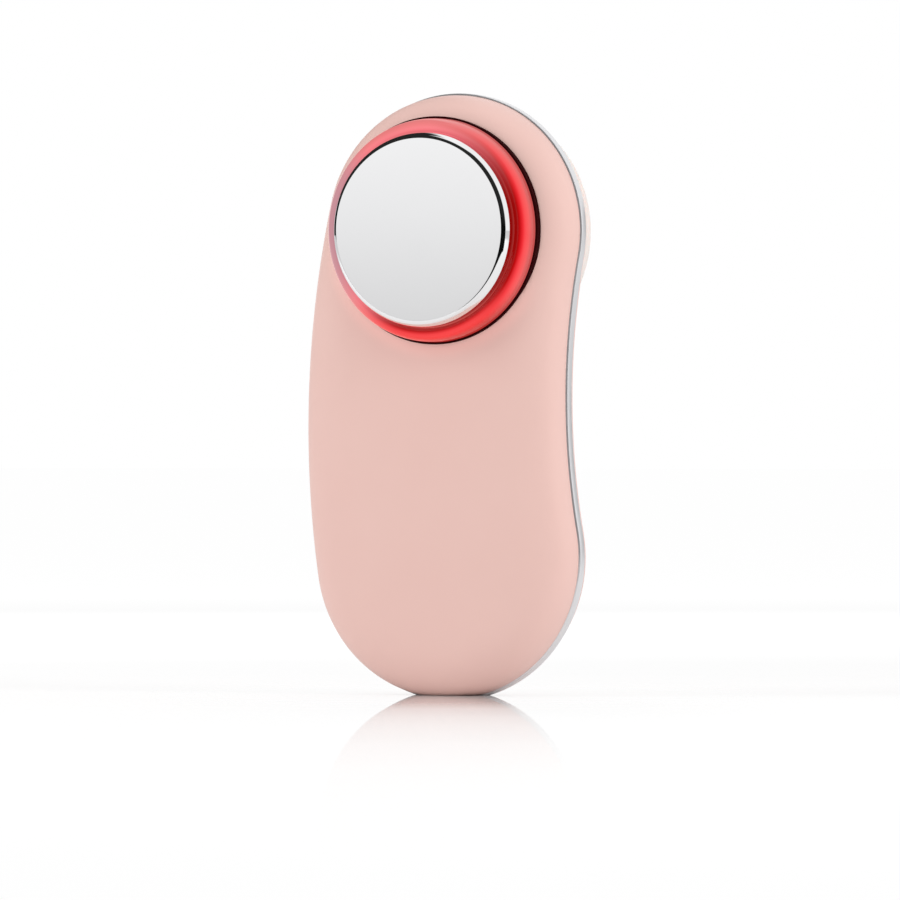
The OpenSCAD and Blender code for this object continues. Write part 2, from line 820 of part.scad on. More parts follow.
// Silicone brush pad: a soft cap with fine nubs and a rim of stout ones
module brush_pad() {
    edge = [
        for (a = [0:10:90])
            [pad_r - pad_edge_w + pad_edge_w * cos(a), pad_face - pad_edge_d + pad_edge_d * sin(a)]
    ];
    color(silicone)
    union() {
        turned_on_head(concat(
            [[frame_r + seat_gap, pad_seat + seat_gap], [pad_r, pad_seat + seat_gap]],
            edge,
            [
                [0, pad_face],
                [0, platform_face + seat_gap],
                [platform_r + seat_gap, platform_face + seat_gap],
                [platform_r + seat_gap, pad_seat + frame_t + seat_gap],
                [frame_r + seat_gap, pad_seat + frame_t + seat_gap]
            ]
        ));
        nub_cone(0, 0, nub_r, nub_tip_r);
        for (ring = [1:nub_rings])
            for (k = [0:6 * ring - 1])
                nub_cone(ring * nub_pitch, k * 60 / ring, nub_r, nub_tip_r);
        for (k = [0:stout_count - 1])
            nub_cone(stout_circle_r, k * 360 / stout_count, stout_r, stout_r * 0.7);
    }
}

// One nub that stands on the pad's face at a radius and angle from the head's axis
module nub_cone(r, a, root_r, tip_r) {
    at_angle(r, a) along_y(0, pad_face - nub_root, 0) cylinder(h = nub_h + nub_root, r1 = root_r, r2 = tip_r);
}

// Stiff frame inside the pad's rim, which clips to the seat and hides the head's screws
module pad_frame() {
    color(white_plastic)
    tube_y(head_x, head_z, pad_seat, pad_seat + frame_t, frame_r, platform_r + loose_gap);
}

// Case screws: three under the pad and two under the plugs of the grip
module case_screws() {
    color(steel) {
        for (a = head_screw_angles)
            at_angle(head_screw_r, a)
                screw_y(0, 0, case_head_seat, -1, head_screw_l, case_screw_r, case_head_r);
        for (s = [-1, 1])
            screw_y(
                s * grip_screw_x, grip_screw_z, grip_head_seat, -1, grip_screw_l, case_screw_r, case_head_r
            );
    }
}

// Soft plugs that hide the two screws in the grip
module screw_plugs() {
    color(pink)
    for (s = [-1, 1])
        rod_y(
            s * grip_screw_x, grip_screw_z,
            grip_head_seat + screw_head_h, grip_head_seat + screw_head_h + grip_plug_h,
            case_head_r + loose_gap - seat_gap
        );
}

// Places its children on the motor's axis
module on_motor(z) translate([head_x, motor_y, z]) children();

// Steel can of the vibration motor, open at its lower end
module motor_can() {
    color(steel)
    difference() {
        on_motor(motor_z) cylinder(h = motor_l, r = motor_r);
        on_motor(motor_z - cut) cylinder(h = motor_l - can_end_t + cut, r = motor_r - motor_wall);
        on_motor(motor_top - can_end_t - cut) cylinder(h = can_end_t + 2 * cut, r = shaft_r + running_gap);
    }
}

// Plastic cap in the can's lower end, with the shaft's second bearing
module motor_end_cap() {
    color(rubber)
    difference() {
        on_motor(motor_z) cylinder(h = end_cap_h, r = motor_r - motor_wall - seat_gap);
        on_motor(motor_z + bearing_floor) cylinder(h = end_cap_h, r = shaft_r + running_gap);
    }
}

// Two curved magnets inside the can
module motor_magnets() {
    outer = motor_r - motor_wall - seat_gap;
    half_gap = 1;
    color(rubber)
    difference() {
        on_motor(winding_z) cylinder(h = winding_top - winding_z, r = outer);
        on_motor(motor_z) cylinder(h = motor_l, r = armature_r + free_gap);
        on_motor(motor_z) translate([-half_gap, -motor_r, 0]) cube([2 * half_gap, 2 * motor_r, motor_l]);
    }
}

// Wound armature on the shaft
module motor_armature() {
    color(copper)
    difference() {
        on_motor(winding_z) cylinder(h = winding_top - winding_z, r = armature_r);
        on_motor(motor_z) cylinder(h = motor_l, r = shaft_r + screw_thread);
    }
}

// Shaft, from the end cap's bearing to just past the weight
module motor_shaft() {
    color(steel)
    on_motor(shaft_z) cylinder(h = shaft_top - shaft_z, r = shaft_r);
}

// Half-round weight that makes the head vibrate when it spins
module eccentric_weight() {
    hub_r = shaft_r + 1;
    color(copper)
    difference() {
        union() {
            intersection() {
                on_motor(weight_z) cylinder(h = weight_l, r = weight_r);
                on_motor(weight_z)
                    translate([-weight_r, -weight_r, 0]) cube([2 * weight_r, weight_r, weight_l]);
            }
            on_motor(weight_z) cylinder(h = weight_l, r = hub_r);
        }
        on_motor(weight_z - cut) cylinder(h = weight_l + 2 * cut, r = shaft_r + screw_thread);
    }
}

// Rubber sleeve that seats the motor in its ribs
module motor_sleeve() {
    color(rubber)
    difference() {
        on_motor(motor_z + 0.5) cylinder(h = motor_l - 1, r = sleeve_r);
        on_motor(motor_z) cylinder(h = motor_l, r = motor_r + screw_thread);
    }
}

// Main circuit board behind the buttons
module main_board() {
    half_w = board_w / 2;
    corner_x = half_w - board_corner;
    corner_low = board_z0 + board_corner;
    corner_high = board_z1 - board_corner;
    color(board_green)
    difference() {
        union() {
            box([-half_w, board_front, corner_low], [half_w, board_rear, corner_high]);
            box([-corner_x, board_front, board_z0], [corner_x, board_rear, board_z1]);
            for (x = [-corner_x, corner_x], z = [corner_low, corner_high])
                rod_y(x, z, board_front, board_rear, board_corner);
        }
        for (p = board_screws_at)
            rod_y(p.x, p.y, board_front - cut, board_rear + cut, small_screw_r + loose_gap);
    }
}

// Three screws that hold the main board to the rear shell
module board_screws() {
    color(steel)
    for (p = board_screws_at)
        screw_y(p.x, p.y, board_front, 1, board_t + screw_grip, small_screw_r, small_head_r);
}

// A chip or connector body on the main board's front side: at is [X, Z], size is [width, length, height]
module on_board_front(at, size) {
    half = [size.x, size.y] / 2;
    box([at.x - half.x, board_front - size.z, at.y - half.y], [at.x + half.x, board_front, at.y + half.y]);
}

module controller_chip() {
    color(black) on_board_front(controller_at, [7, 7, 1.2]);
}

module charger_chip() {
    color(black) on_board_front(charger_at, [5, 4, 1.4]);
}

module boost_inductor() {
    color(rubber) on_board_front(inductor_at, [6, 6, 2.8]);
}

module board_capacitor() {
    color(steel) rod_y(capacitor_at.x, capacitor_at.y, board_front - 3, board_front, 2.5);
}

// Plug-in connectors for the leads, with their mouths facing up
module connector(x) {
    on_board_front([x, connector_top - connector_w / 2], [connector_w, connector_w, connector_h]);
}

module cell_connector() {
    color(white_plastic) connector(cell_lead_x);
}

module motor_connector() {
    color(white_plastic) connector(head_x);
}

module heater_connector() {
    color(white_plastic) connector(heater_lead_x);
}

// Pouch cell that lies against the front shell
module lithium_cell() {
    color(steel) box([-cell_w / 2, cell_front, cell_z], [cell_w / 2, cell_rear, cell_top]);
}

// Adhesive foam between the cell and the front shell
module cell_foam() {
    margin = 2;
    half_w = cell_w / 2 - margin;
    color(rubber)
    box([-half_w, front_inside, cell_z + margin], [half_w, cell_front, cell_top - margin]);
}

// Small protection board on the cell's upper end
module protection_board() {
    half_w = cell_w / 2 - protection_inset.x;
    half_d = cell_t / 2 - protection_inset.y;
    color(board_green)
    box([-half_w, cell_middle - half_d, cell_top], [half_w, cell_middle + half_d, cell_top + protection_t]);
}

// Pair of wires from the cell to the board
module cell_lead() {
    color("crimson")
    for (s = [-1, 1])
        let (x = cell_lead_x + s * wire_gap, low = cell_top + protection_t, z = connector_top + cell_lead_rise)
            wire([[x, cell_middle, low], [x, cell_middle, z], [x, lead_y, z], [x, lead_y, connector_top]]);
}

// Pair of wires from the motor to the board
module motor_lead() {
    color("royalblue")
    for (s = [-1, 1])
        let (x = head_x + s * wire_gap, z = motor_z - motor_lead_drop)
            wire([[x, motor_y, motor_z], [x, motor_y, z], [x, lead_y, z], [x, lead_y, connector_top]]);
}

// Pair of wires from the heating film, past the motor, to the board
module heater_lead() {
    color("gold")
    for (s = [-1, 1])
        let (x = heater_lead_x + s * wire_gap, z = head_z - heater_lead_drop)
            wire([[x, carrier_front + carrier_wall, z], [x, lead_y, z], [x, lead_y, connector_top]]);
}

// Body of a push switch, with the bore that its plunger slides in
module switch_body(z) {
    difference() {
        box([-switch_w / 2, board_rear, z - switch_w / 2], [switch_w / 2, switch_front, z + switch_w / 2]);
        rod_y(0, z, switch_front - 1.8, switch_front + cut, plunger_r + running_gap);
    }
}

module power_switch() {
    color(rubber) switch_body(power_z);
}

module mode_switch() {
    color(rubber) switch_body(mode_z);
}

// Plunger between a switch and its button
module plunger(z) {
    rod_y(0, z, switch_front - 1, stem_end, plunger_r);
}

module power_plunger() {
    color(black) plunger(power_z);
}

module mode_plunger() {
    color(black) plunger(mode_z);
}

// Round button cap with a flange behind the shell and a stem that meets the plunger
module button_cap(z, r) {
    rod_y(0, z, rear_inside - merge, rear_face + button_proud, r);
    rod_y(0, z, rear_inside - button_flange, rear_inside, r + button_flange);
    rod_y(0, z, stem_end, rear_inside - button_flange + merge, plunger_r + 0.4);
}

module power_button() {
    color(chrome) button_cap(power_z, power_r);
}

module mode_button() {
    color(chrome) button_cap(mode_z, mode_r);
}

// White lamps on the main board under the light pipes
module indicator_lamps() {
    half = [0.8, 0.5];
    color("white")
    for (k = [-1:1])
        let (x = k * indicator_pitch, lamp_rear = board_rear + indicator_lamp_h)
            box([x - half.x, board_rear, indicator_z - half.y], [x + half.x, lamp_rear, indicator_z + half.y]);
}

// Three clear light pipes joined by a bar behind the shell
module light_pipes() {
    bar_half_w = indicator_pitch + pipe_bar_over;
    pipe_front = board_rear + indicator_lamp_h + free_gap;
    color("whitesmoke")
    union() {
        for (k = [-1:1])
            rod_y(k * indicator_pitch, indicator_z, pipe_front, rear_face, pipe_r);
        box(
            [-bar_half_w, rear_inside - pipe_bar_t, indicator_z - pipe_bar_h],
            [bar_half_w, rear_inside, indicator_z + pipe_bar_h]
        );
    }
}

// Steel shell of the charging socket, which stands on the main board
module charging_socket() {
    skin = 0.3;
    inner_w = socket_w - 2 * skin;
    inner_h = socket_h - 2 * skin;
    color(steel)
    difference() {
        stadium_y(port_z, board_rear, socket_mouth, socket_w, socket_h);
        stadium_y(port_z, board_rear + socket_floor, socket_mouth + cut, inner_w, inner_h);
    }
}

// Contact tongue inside the charging socket
module socket_tongue() {
    half_w = 3.3;
    half_h = 0.35;
    color(black)
    box([-half_w, board_rear + socket_floor, port_z - half_h], [half_w, socket_mouth - 1, port_z + half_h]);
}

// Soft cover of the charging port, hinged at its upper edge
module port_cover() {
    plug_l = 0.7;
    color(silicone)
    union() {
        box([-cover_w / 2, rear_face - cover_t, cover_bottom], [cover_w / 2, rear_face, hinge_z]);
        translate([-cover_w / 2, hinge_y, hinge_z]) rotate([0, 90, 0]) cylinder(h = cover_w, r = barrel_r);
        translate([-cover_w / 2 - hinge_pin_l, hinge_y, hinge_z])
            rotate([0, 90, 0]) cylinder(h = cover_w + 2 * hinge_pin_l, r = hinge_pin_r);
        stadium_y(port_z, cover_floor - plug_l, rear_face - merge, socket_w - 1.6, socket_h - 1.6);
    }
}

front_shell();
rear_shell();
trim_band();
case_gasket();
massage_plate();
light_ring();
ring_seal();
plate_carrier();
heating_film();
thermistor();
ring_board();
ring_lamps_red();
carrier_screws();
brush_pad();
pad_frame();
case_screws();
screw_plugs();
motor_can();
motor_end_cap();
motor_magnets();
motor_armature();
motor_shaft();
eccentric_weight();
motor_sleeve();
main_board();
board_screws();
controller_chip();
charger_chip();
boost_inductor();
board_capacitor();
cell_connector();
motor_connector();
heater_connector();
lithium_cell();
cell_foam();
protection_board();
cell_lead();
motor_lead();
heater_lead();
power_switch();
mode_switch();
power_plunger();
mode_plunger();
power_button();
mode_button();
indicator_lamps();
light_pipes();
charging_socket();
socket_tongue();
port_cover();
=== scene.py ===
"""Sonic facial cleansing brush, dressed in the order in which the real one is put together.

The front has a warm massage plate inside a glowing red ring, the back of the head has a silicone
brush pad, and a chromed band covers the joint of the two pink shells. Sizes are in millimetres and
the helpers scale them by MM, so that they can be read next to the part's own. A value in capitals
is used by more than one section.
"""

import json
import math

import bpy
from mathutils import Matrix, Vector

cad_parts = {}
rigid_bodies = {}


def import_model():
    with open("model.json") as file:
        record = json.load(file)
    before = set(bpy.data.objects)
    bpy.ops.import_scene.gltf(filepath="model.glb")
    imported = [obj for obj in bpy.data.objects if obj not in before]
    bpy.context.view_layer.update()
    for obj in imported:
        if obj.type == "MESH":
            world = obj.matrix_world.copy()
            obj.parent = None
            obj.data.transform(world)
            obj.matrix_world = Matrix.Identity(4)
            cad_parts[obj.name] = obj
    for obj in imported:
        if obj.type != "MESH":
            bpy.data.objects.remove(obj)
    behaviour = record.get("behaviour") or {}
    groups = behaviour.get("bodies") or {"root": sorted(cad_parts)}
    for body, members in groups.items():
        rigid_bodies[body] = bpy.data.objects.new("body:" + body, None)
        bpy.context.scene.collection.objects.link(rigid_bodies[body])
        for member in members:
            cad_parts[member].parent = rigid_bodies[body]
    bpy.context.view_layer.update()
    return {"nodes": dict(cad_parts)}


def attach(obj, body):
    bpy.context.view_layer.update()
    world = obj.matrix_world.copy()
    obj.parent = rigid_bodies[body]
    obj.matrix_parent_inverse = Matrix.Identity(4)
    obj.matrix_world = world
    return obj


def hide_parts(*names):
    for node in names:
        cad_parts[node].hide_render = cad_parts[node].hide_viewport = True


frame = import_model()


# Front shell: injection-moulded ABS with a wall of 1.8 mm, sprayed with a soft-touch pink lacquer.
# It is the body's outline with a softly squared edge, and the round well for the massage head is
# moulded into its upper half.
MM = 0.001
HEAD = (1.4, 92.7)  # x and z of the head's axis
HEAD_RADIUS = 27.2
LOBE = (0, 27.61)  # x and z of the middle of the grip's lower end
LOBE_RADIUS = 28.3
WAIST_RADIUS = 148  # hollow curve on the right
BACK_RADIUS = 202  # long outward curve on the left
FRONT_JOINT, REAR_JOINT = -1.2, 1.2  # the trim band lies between the two
SHELL_WALL = 1.8
SHELL_BREAK = 0.22  # rounding of the shells' small edges
WELL_RADIUS = 22.5
front_depth, front_edge, front_power = 9.5, 12, 2.5
well_floor, well_back, opening_radius = -6.4, -4.8, 11.5
front_clear = -16  # where cutters start, in front of all


def colour(code):
    """Linear colour of an sRGB hex value."""
    parts = [int(code[i : i + 2], 16) / 255 for i in (1, 3, 5)]
    return [p / 12.92 if p <= 0.04045 else ((p + 0.055) / 1.055) ** 2.4 for p in parts] + [1]


def add_node(tree, kind, settings=None, inputs=None, stops=()):
    """Adds a node with its settings, and a ramp's stops as places with a hex colour or a grey level.

    An input takes a value or another node's output.
    """
    new = tree.nodes.new("ShaderNode" + kind)
    for name, value in (settings or {}).items():
        setattr(new, name, value)
    while stops and len(new.color_ramp.elements) < len(stops):
        new.color_ramp.elements.new(0.5)
    for element, (position, tone) in zip(new.color_ramp.elements if stops else (), stops):
        element.position = position
        element.color = colour(tone) if isinstance(tone, str) else (tone, tone, tone, 1)
    for name, value in (inputs or {}).items():
        if isinstance(value, bpy.types.NodeSocket):
            tree.links.new(value, new.inputs[name])
        else:
            new.inputs[name].default_value = value
    return new


def new_material(name):
    """Empty material and its node tree."""
    material = bpy.data.materials.new(name)
    material.use_nodes = True
    material.node_tree.nodes.clear()
    return material, material.node_tree


def begin(name, x, y, z):
    """Starts a mesh as a single point at a place in mm, and stays in edit mode."""
    bpy.ops.object.select_all(action="DESELECT")
    bpy.ops.mesh.primitive_plane_add(size=1 * MM)
    piece = bpy.context.object
    piece.name = name
    bpy.ops.object.mode_set(mode="EDIT")
    bpy.ops.mesh.select_all(action="SELECT")
    bpy.ops.mesh.merge(type="CENTER")
    bpy.ops.transform.translate(value=(x * MM, y * MM, z * MM))
    return piece


def outline(name, inset, y, way):
    """Face with the body's outline, moved inwards by an inset. It faces -Y or +Y and stays in edit mode."""
    lobe, head = Vector(LOBE), Vector(HEAD)

    def crossing(a, ra, b, rb):
        """Point on the right of two centres, at these distances from them."""
        d, u = (b - a).length, (b - a).normalized()
        along = (ra * ra - rb * rb + d * d) / (2 * d)
        return a + along * u + math.sqrt(ra * ra - along * along) * Vector((u.y, -u.x))

    def heading(a, b):
        """Direction from a to b in degrees."""
        return math.degrees(math.atan2(b.y - a.y, b.x - a.x)) % 360

    waist = crossing(lobe, WAIST_RADIUS + LOBE_RADIUS, head, WAIST_RADIUS + HEAD_RADIUS)
    back = crossing(lobe, BACK_RADIUS - LOBE_RADIUS, head, BACK_RADIUS - HEAD_RADIUS)
    arcs = [
        (lobe, -90, heading(lobe, waist), 40),
        (waist, heading(waist, lobe), heading(waist, head), 26),
        (head, heading(head, waist) - 360, heading(back, head), 72),
        (back, heading(back, head), heading(back, lobe), 36),
        (lobe, heading(back, lobe), 270, 32),
    ]
    piece = begin(name, lobe.x, y, lobe.y - LOBE_RADIUS + inset)
    for centre, start, end, steps in arcs:
        pivot = (centre.x * MM, y * MM, centre.y * MM)
        bpy.ops.mesh.spin(steps=steps, angle=math.radians(end - start), center=pivot, axis=(0, 1, 0))
    bpy.ops.mesh.select_all(action="SELECT")
    bpy.ops.mesh.remove_doubles(threshold=0.01 * MM)
    bpy.ops.mesh.edge_face_add()
    piece.update_from_editmode()
    if piece.data.polygons[0].normal.y * way < 0:
        bpy.ops.mesh.flip_normals()
    return piece


def round_over(width, depth, power, steps=18):
    """Raises the selected face over a superellipse edge of this width and depth."""
    before = (0, 0)
    for k in range(1, steps + 1):
        angle = math.pi / 2 * k / steps
        now = (
            width * (1 - math.cos(angle) ** (2 / power)),
            depth * math.sin(angle) ** (2 / power),
        )
        step = [(n - b) * MM for n, b in zip(now, before)]
        bpy.ops.mesh.inset(thickness=step[0], depth=step[1], use_even_offset=True)
        before = now


def apply_modifier(piece, kind, **settings):
    """Adds a modifier with its settings and applies it."""
    bpy.ops.object.select_all(action="DESELECT")
    bpy.context.view_layer.objects.active = piece
    piece.select_set(True)
    modifier = piece.modifiers.new(kind.lower(), kind)
    for name, value in settings.items():
        setattr(modifier, name, value)
    bpy.ops.object.modifier_apply(modifier=modifier.name)


def stand_flat(piece):
    """Cuts the base flat at the floor."""
    bpy.context.view_layer.objects.active = piece
    bpy.ops.object.mode_set(mode="EDIT")
    bpy.ops.mesh.select_all(action="SELECT")
    bpy.ops.mesh.bisect(plane_co=(0, 0, 0), plane_no=(0, 0, 1), use_fill=True, clear_inner=True)
    bpy.ops.object.mode_set(mode="OBJECT")


def combine(piece, tool, operation):
    """Boolean with a tool, which is used up."""
    apply_modifier(piece, "BOOLEAN", operation=operation, solver="EXACT", object=tool)
    bpy.data.objects.remove(tool)


def rods(name, sizes, sides=64):
    """Round rods along Y as one mesh, each given as x, z, y0, y1 and radius in mm."""
    piece = begin(name, 0, 0, 0)
    bpy.ops.mesh.delete(type="VERT")
    for x, z, y0, y1, radius in sizes:
        bpy.ops.mesh.primitive_cylinder_add(
            vertices=sides,
            radius=radius * MM,
            depth=(y1 - y0) * MM,
            location=(x * MM, (y0 + y1) / 2 * MM, z * MM),
            rotation=(math.pi / 2, 0, 0),
        )
    bpy.ops.object.mode_set(mode="OBJECT")
    return piece


def turned(name, profile, centre=HEAD, steps=128):
    """Form turned round an axis along Y, from a closed profile of radius and Y points in mm."""
    x, z = centre
    piece = begin(name, x + profile[0][0], profile[0][1], z)
    for (r0, y0), (r1, y1) in zip(profile, profile[1:]):
        move = ((r1 - r0) * MM, (y1 - y0) * MM, 0)
        bpy.ops.mesh.extrude_vertices_move(TRANSFORM_OT_translate={"value": move})
    bpy.ops.mesh.select_all(action="SELECT")
    bpy.ops.mesh.spin(steps=steps, angle=2 * math.pi, center=(x * MM, 0, z * MM), axis=(0, 1, 0))
    bpy.ops.mesh.select_all(action="SELECT")
    bpy.ops.mesh.remove_doubles(threshold=0.002 * MM)
    bpy.ops.mesh.normals_make_consistent(inside=False)
    bpy.ops.object.mode_set(mode="OBJECT")
    return piece


def soften(piece, width, angle=50):
    """Breaks the sharp edges with a small rounding and smooths the rest."""
    apply_modifier(
        piece, "BEVEL", width=width * MM, segments=2, limit_method="ANGLE",
        angle_limit=math.radians(angle), harden_normals=False,
    )
    bpy.ops.object.shade_smooth_by_angle(angle=math.radians(30))
    apply_modifier(piece, "WEIGHTED_NORMAL", keep_sharp=True)


def place(piece, body, nodes, material):
    """Gives a finished piece its material and its body, and hides the CAD nodes that it stands for."""
    piece.data.materials.clear()
    piece.data.materials.append(material)
    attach(piece, body)
    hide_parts(*nodes)


def dress(nodes, material):
    """Gives CAD nodes a material."""
    for node in nodes:
        for slot in frame["nodes"][node].material_slots:
            slot.material = material


# Soft-touch lacquer on ABS: a satin skin whose fine orange peel breaks up reflections, with the
# faint cloudiness of a sprayed coat. Round the light ring it has a painted glow of the ring's light,
# added as emission and strongest below the ring.
soft_touch, tree = new_material("soft_touch_lacquer_sprayed_on_abs")
place_on = add_node(tree, "TexCoord").outputs["Object"]
cloud = add_node(tree, "TexNoise", inputs={"Vector": place_on, "Scale": 1 / (18 * MM), "Detail": 2})
skin_colour = add_node(
    tree, "Mix", {"data_type": "RGBA"},
    {0: cloud.outputs["Fac"], 6: colour("#E7BFB6"), 7: colour("#EAC4BB")},
)
peel = add_node(tree, "TexNoise", inputs={"Vector": place_on, "Scale": 1 / (0.5 * MM), "Detail": 3})
gloss = add_node(
    tree, "MapRange", inputs={"Value": peel.outputs["Fac"], "To Min": 0.38, "To Max": 0.46}
)
relief = add_node(
    tree, "Bump",
    inputs={"Height": peel.outputs["Fac"], "Strength": 0.15, "Distance": 0.01 * MM},
)
# Painted light: an emission glow of the ring's light on the shell round it, strongest below the ring, where
# it lifts the shade.
from_ring = add_node(
    tree, "VectorMath", {"operation": "SUBTRACT"},
    {0: place_on, 1: (HEAD[0] * MM, 0, HEAD[1] * MM)},
)
spread = add_node(
    tree, "VectorMath", {"operation": "MULTIPLY"}, {0: from_ring.outputs[0], 1: (1, 0, 1)}
)
beyond = add_node(tree, "VectorMath", {"operation": "LENGTH"}, {0: spread.outputs[0]})
weaker = add_node(
    tree, "MapRange", {"interpolation_type": "SMOOTHERSTEP"},
    {
        "Value": beyond.outputs["Value"], "From Min": 22 * MM, "From Max": 27 * MM,
        "To Min": 0.18, "To Max": 0,
    },
)
outwards = add_node(tree, "VectorMath", {"operation": "NORMALIZE"}, {0: spread.outputs[0]})
slant = add_node(
    tree, "VectorMath", {"operation": "DOT_PRODUCT"}, {0: outwards.outputs[0], 1: (-0.45, 0, -0.89)}
)
below = add_node(
    tree, "MapRange", {"interpolation_type": "SMOOTHSTEP"},
    {"Value": slant.outputs["Value"], "From Min": -0.75, "From Max": 0.5},
)
axes = add_node(tree, "SeparateXYZ", inputs={0: place_on})
in_front = add_node(
    tree, "MapRange", inputs={"Value": axes.outputs["Y"], "From Min": -8 * MM, "From Max": -10 * MM}
)
reach = add_node(tree, "Math", {"operation": "MULTIPLY"}, {0: weaker.outputs[0], 1: below.outputs[0]})
painted_ring_glow = add_node(tree, "Math", {"operation": "MULTIPLY"}, {0: reach.outputs[0], 1: in_front.outputs[0]})
shader = add_node(
    tree, "BsdfPrincipled",
    inputs={
        "Base Color": skin_colour.outputs[2],
        "Roughness": gloss.outputs[0],
        "Normal": relief.outputs[0],
        "IOR": 1.5,
        "Sheen Weight": 0.04,
        "Emission Color": colour("#FFA8A0"),
        "Emission Strength": painted_ring_glow.outputs[0],
    },
)
add_node(tree, "OutputMaterial", inputs={"Surface": shader.outputs[0]})

front_shell = outline("front_shell_lacquered", 0, FRONT_JOINT, -1)
round_over(front_edge, front_depth, front_power)
bpy.ops.object.mode_set(mode="OBJECT")
apply_modifier(front_shell, "SOLIDIFY", thickness=SHELL_WALL * MM, offset=-1, use_even_offset=True)
stand_flat(front_shell)
well_block = [
    (0, well_back), (WELL_RADIUS + 2.9, well_back), (WELL_RADIUS + 2.1, well_floor),
    (WELL_RADIUS + 0.1, well_floor - 2), (0, well_floor - 3.2),
]
combine(front_shell, turned("well_block", well_block), "UNION")
well = rods("well", [(*HEAD, front_clear, well_floor, WELL_RADIUS)], 192)
combine(front_shell, well, "DIFFERENCE")
opening = rods("well_opening", [(*HEAD, front_clear, well_back + 0.8, opening_radius)], 96)
combine(front_shell, opening, "DIFFERENCE")
soften(front_shell, SHELL_BREAK)
place(front_shell, "housing", ["front_shell"], soft_touch)


# Light ring: a translucent red diffuser moulded in polycarbonate, snapped over its circuit board.
# Twelve red lamps behind it make it glow. Its tints are painted light and shade: deep red against the
# plate, coral where it curves over to the seal, and paler on the side that is seen at a slant.
PLATE_RADIUS = 19.4
RING_OUTER, SEAL_FRONT = 22.25, -11.6
FLANGE_INNER, FLANGE = 21.5, -10.6  # the ring's step, which the seal grips
RING_BACK = -8.25
ring_inner, ring_shoulder, ring_rise = 19.45, 20.55, 4.3
lit_red, tree = new_material("red_polycarbonate_diffuser_lit_from_behind")
place_on = add_node(tree, "TexCoord").outputs["Object"]
centred = add_node(
    tree, "VectorMath", {"operation": "SUBTRACT"},
    {0: place_on, 1: (HEAD[0] * MM, 0, HEAD[1] * MM)},
)
flat = add_node(
    tree, "VectorMath", {"operation": "MULTIPLY"}, {0: centred.outputs[0], 1: (1, 0, 1)}
)
radius = add_node(tree, "VectorMath", {"operation": "LENGTH"}, {0: flat.outputs[0]})
across = add_node(
    tree, "MapRange",
    inputs={
        "Value": radius.outputs["Value"], "From Min": PLATE_RADIUS * MM, "From Max": RING_OUTER * MM,
    },
)
# Painted tints of light and shade, from the plate at 0 to the seal at 1: right, top, below and left.
painted_light_tints = (
    [
        (0, "#A83634"), (0.1, "#930604"), (0.4, "#9C0000"), (0.54, "#C00509"), (0.67, "#E42028"),
        (0.77, "#F83A40"), (0.86, "#FB4E50"), (0.94, "#F45858"), (1, "#C25452"),
    ],
    [
        (0, "#DA6670"), (0.1, "#EE757D"), (0.2, "#FA8087"), (0.35, "#FB858B"), (0.5, "#F58588"),
        (0.65, "#EC8283"), (0.82, "#E48081"), (1, "#C46A6A"),
    ],
    [
        (0, "#B8504C"), (0.12, "#9A1C18"), (0.28, "#B4181A"), (0.4, "#DD2528"), (0.52, "#F63D40"),
        (0.66, "#F94344"), (0.8, "#F23A3A"), (0.9, "#DA3A38"), (1, "#AE2E2A"),
    ],
    [(0, "#B8838A"), (0.3, "#C4909A"), (0.7, "#C99AA1"), (1, "#D8B4B8")],
)
right, top, below, left = [
    add_node(tree, "ValToRGB", inputs={"Fac": across.outputs[0]}, stops=stops).outputs["Color"]
    for stops in painted_light_tints
]
outwards = add_node(tree, "VectorMath", {"operation": "NORMALIZE"}, {0: flat.outputs[0]})


def towards(x, z, start, end):
    """Share of 0 to 1 that grows round the ring towards a direction, between two cosines."""
    along = add_node(
        tree, "VectorMath", {"operation": "DOT_PRODUCT"}, {0: outwards.outputs[0], 1: (x, 0, z)}
    )
    return add_node(
        tree, "MapRange", {"interpolation_type": "SMOOTHSTEP"},
        {"Value": along.outputs["Value"], "From Min": start, "From Max": end},
    ).outputs[0]


# Painted light: the tints for the right, below and left sides are blended in by direction round the ring.
glow = top
for share, tint in (
    (towards(0.93, -0.36, -0.35, 0.85), right),
    (towards(0.1, -1, 0.55, 0.98), below),
    (towards(-1, 0.05, 0.6, 1), left),
):
    glow = add_node(tree, "Mix", {"data_type": "RGBA"}, {0: share, 6: glow, 7: tint}).outputs[2]
lamp_glow = add_node(
    tree, "TexNoise", inputs={"Vector": place_on, "Scale": 1 / (9 * MM), "Detail": 1}
)
strength = add_node(
    tree, "MapRange", inputs={"Value": lamp_glow.outputs["Fac"], "To Min": 0.9, "To Max": 0.98}
)
shader = add_node(
    tree, "BsdfPrincipled",
    inputs={
        "Base Color": (0.05, 0.003, 0.003, 1),
        "Roughness": 0.16,
        "IOR": 1.5,
        "Specular IOR Level": 0.2,
        "Emission Color": glow,
        "Emission Strength": strength.outputs[0],
    },
)
add_node(tree, "OutputMaterial", inputs={"Surface": shader.outputs[0]})

ring_front = SEAL_FRONT - ring_rise
flank = [
    (
        ring_shoulder + (RING_OUTER - ring_shoulder) * max(math.cos(math.radians(t)), 0) ** (5 / 6),
        SEAL_FRONT - ring_rise * math.sin(math.radians(t)) ** (5 / 6),
    )
    for t in range(0, 91, 6)
]
# Rounding over to the plate, as distances out from the ring's bore and back from its front.
inner_edge = [
    (ring_inner + outwards_by, ring_front + back_by)
    for outwards_by, back_by in ((0.75, 0.02), (0.4, 0.13), (0.15, 0.32), (0, 0.6))
]
foot = [
    (ring_inner, RING_BACK), (FLANGE_INNER, RING_BACK), (FLANGE_INNER, FLANGE), (RING_OUTER, FLANGE),
]
light_ring = turned("light_ring_diffuser", flank + inner_edge + foot + [flank[0]])
soften(light_ring, 0.1)
place(light_ring, "housing", ["light_ring"], lit_red)
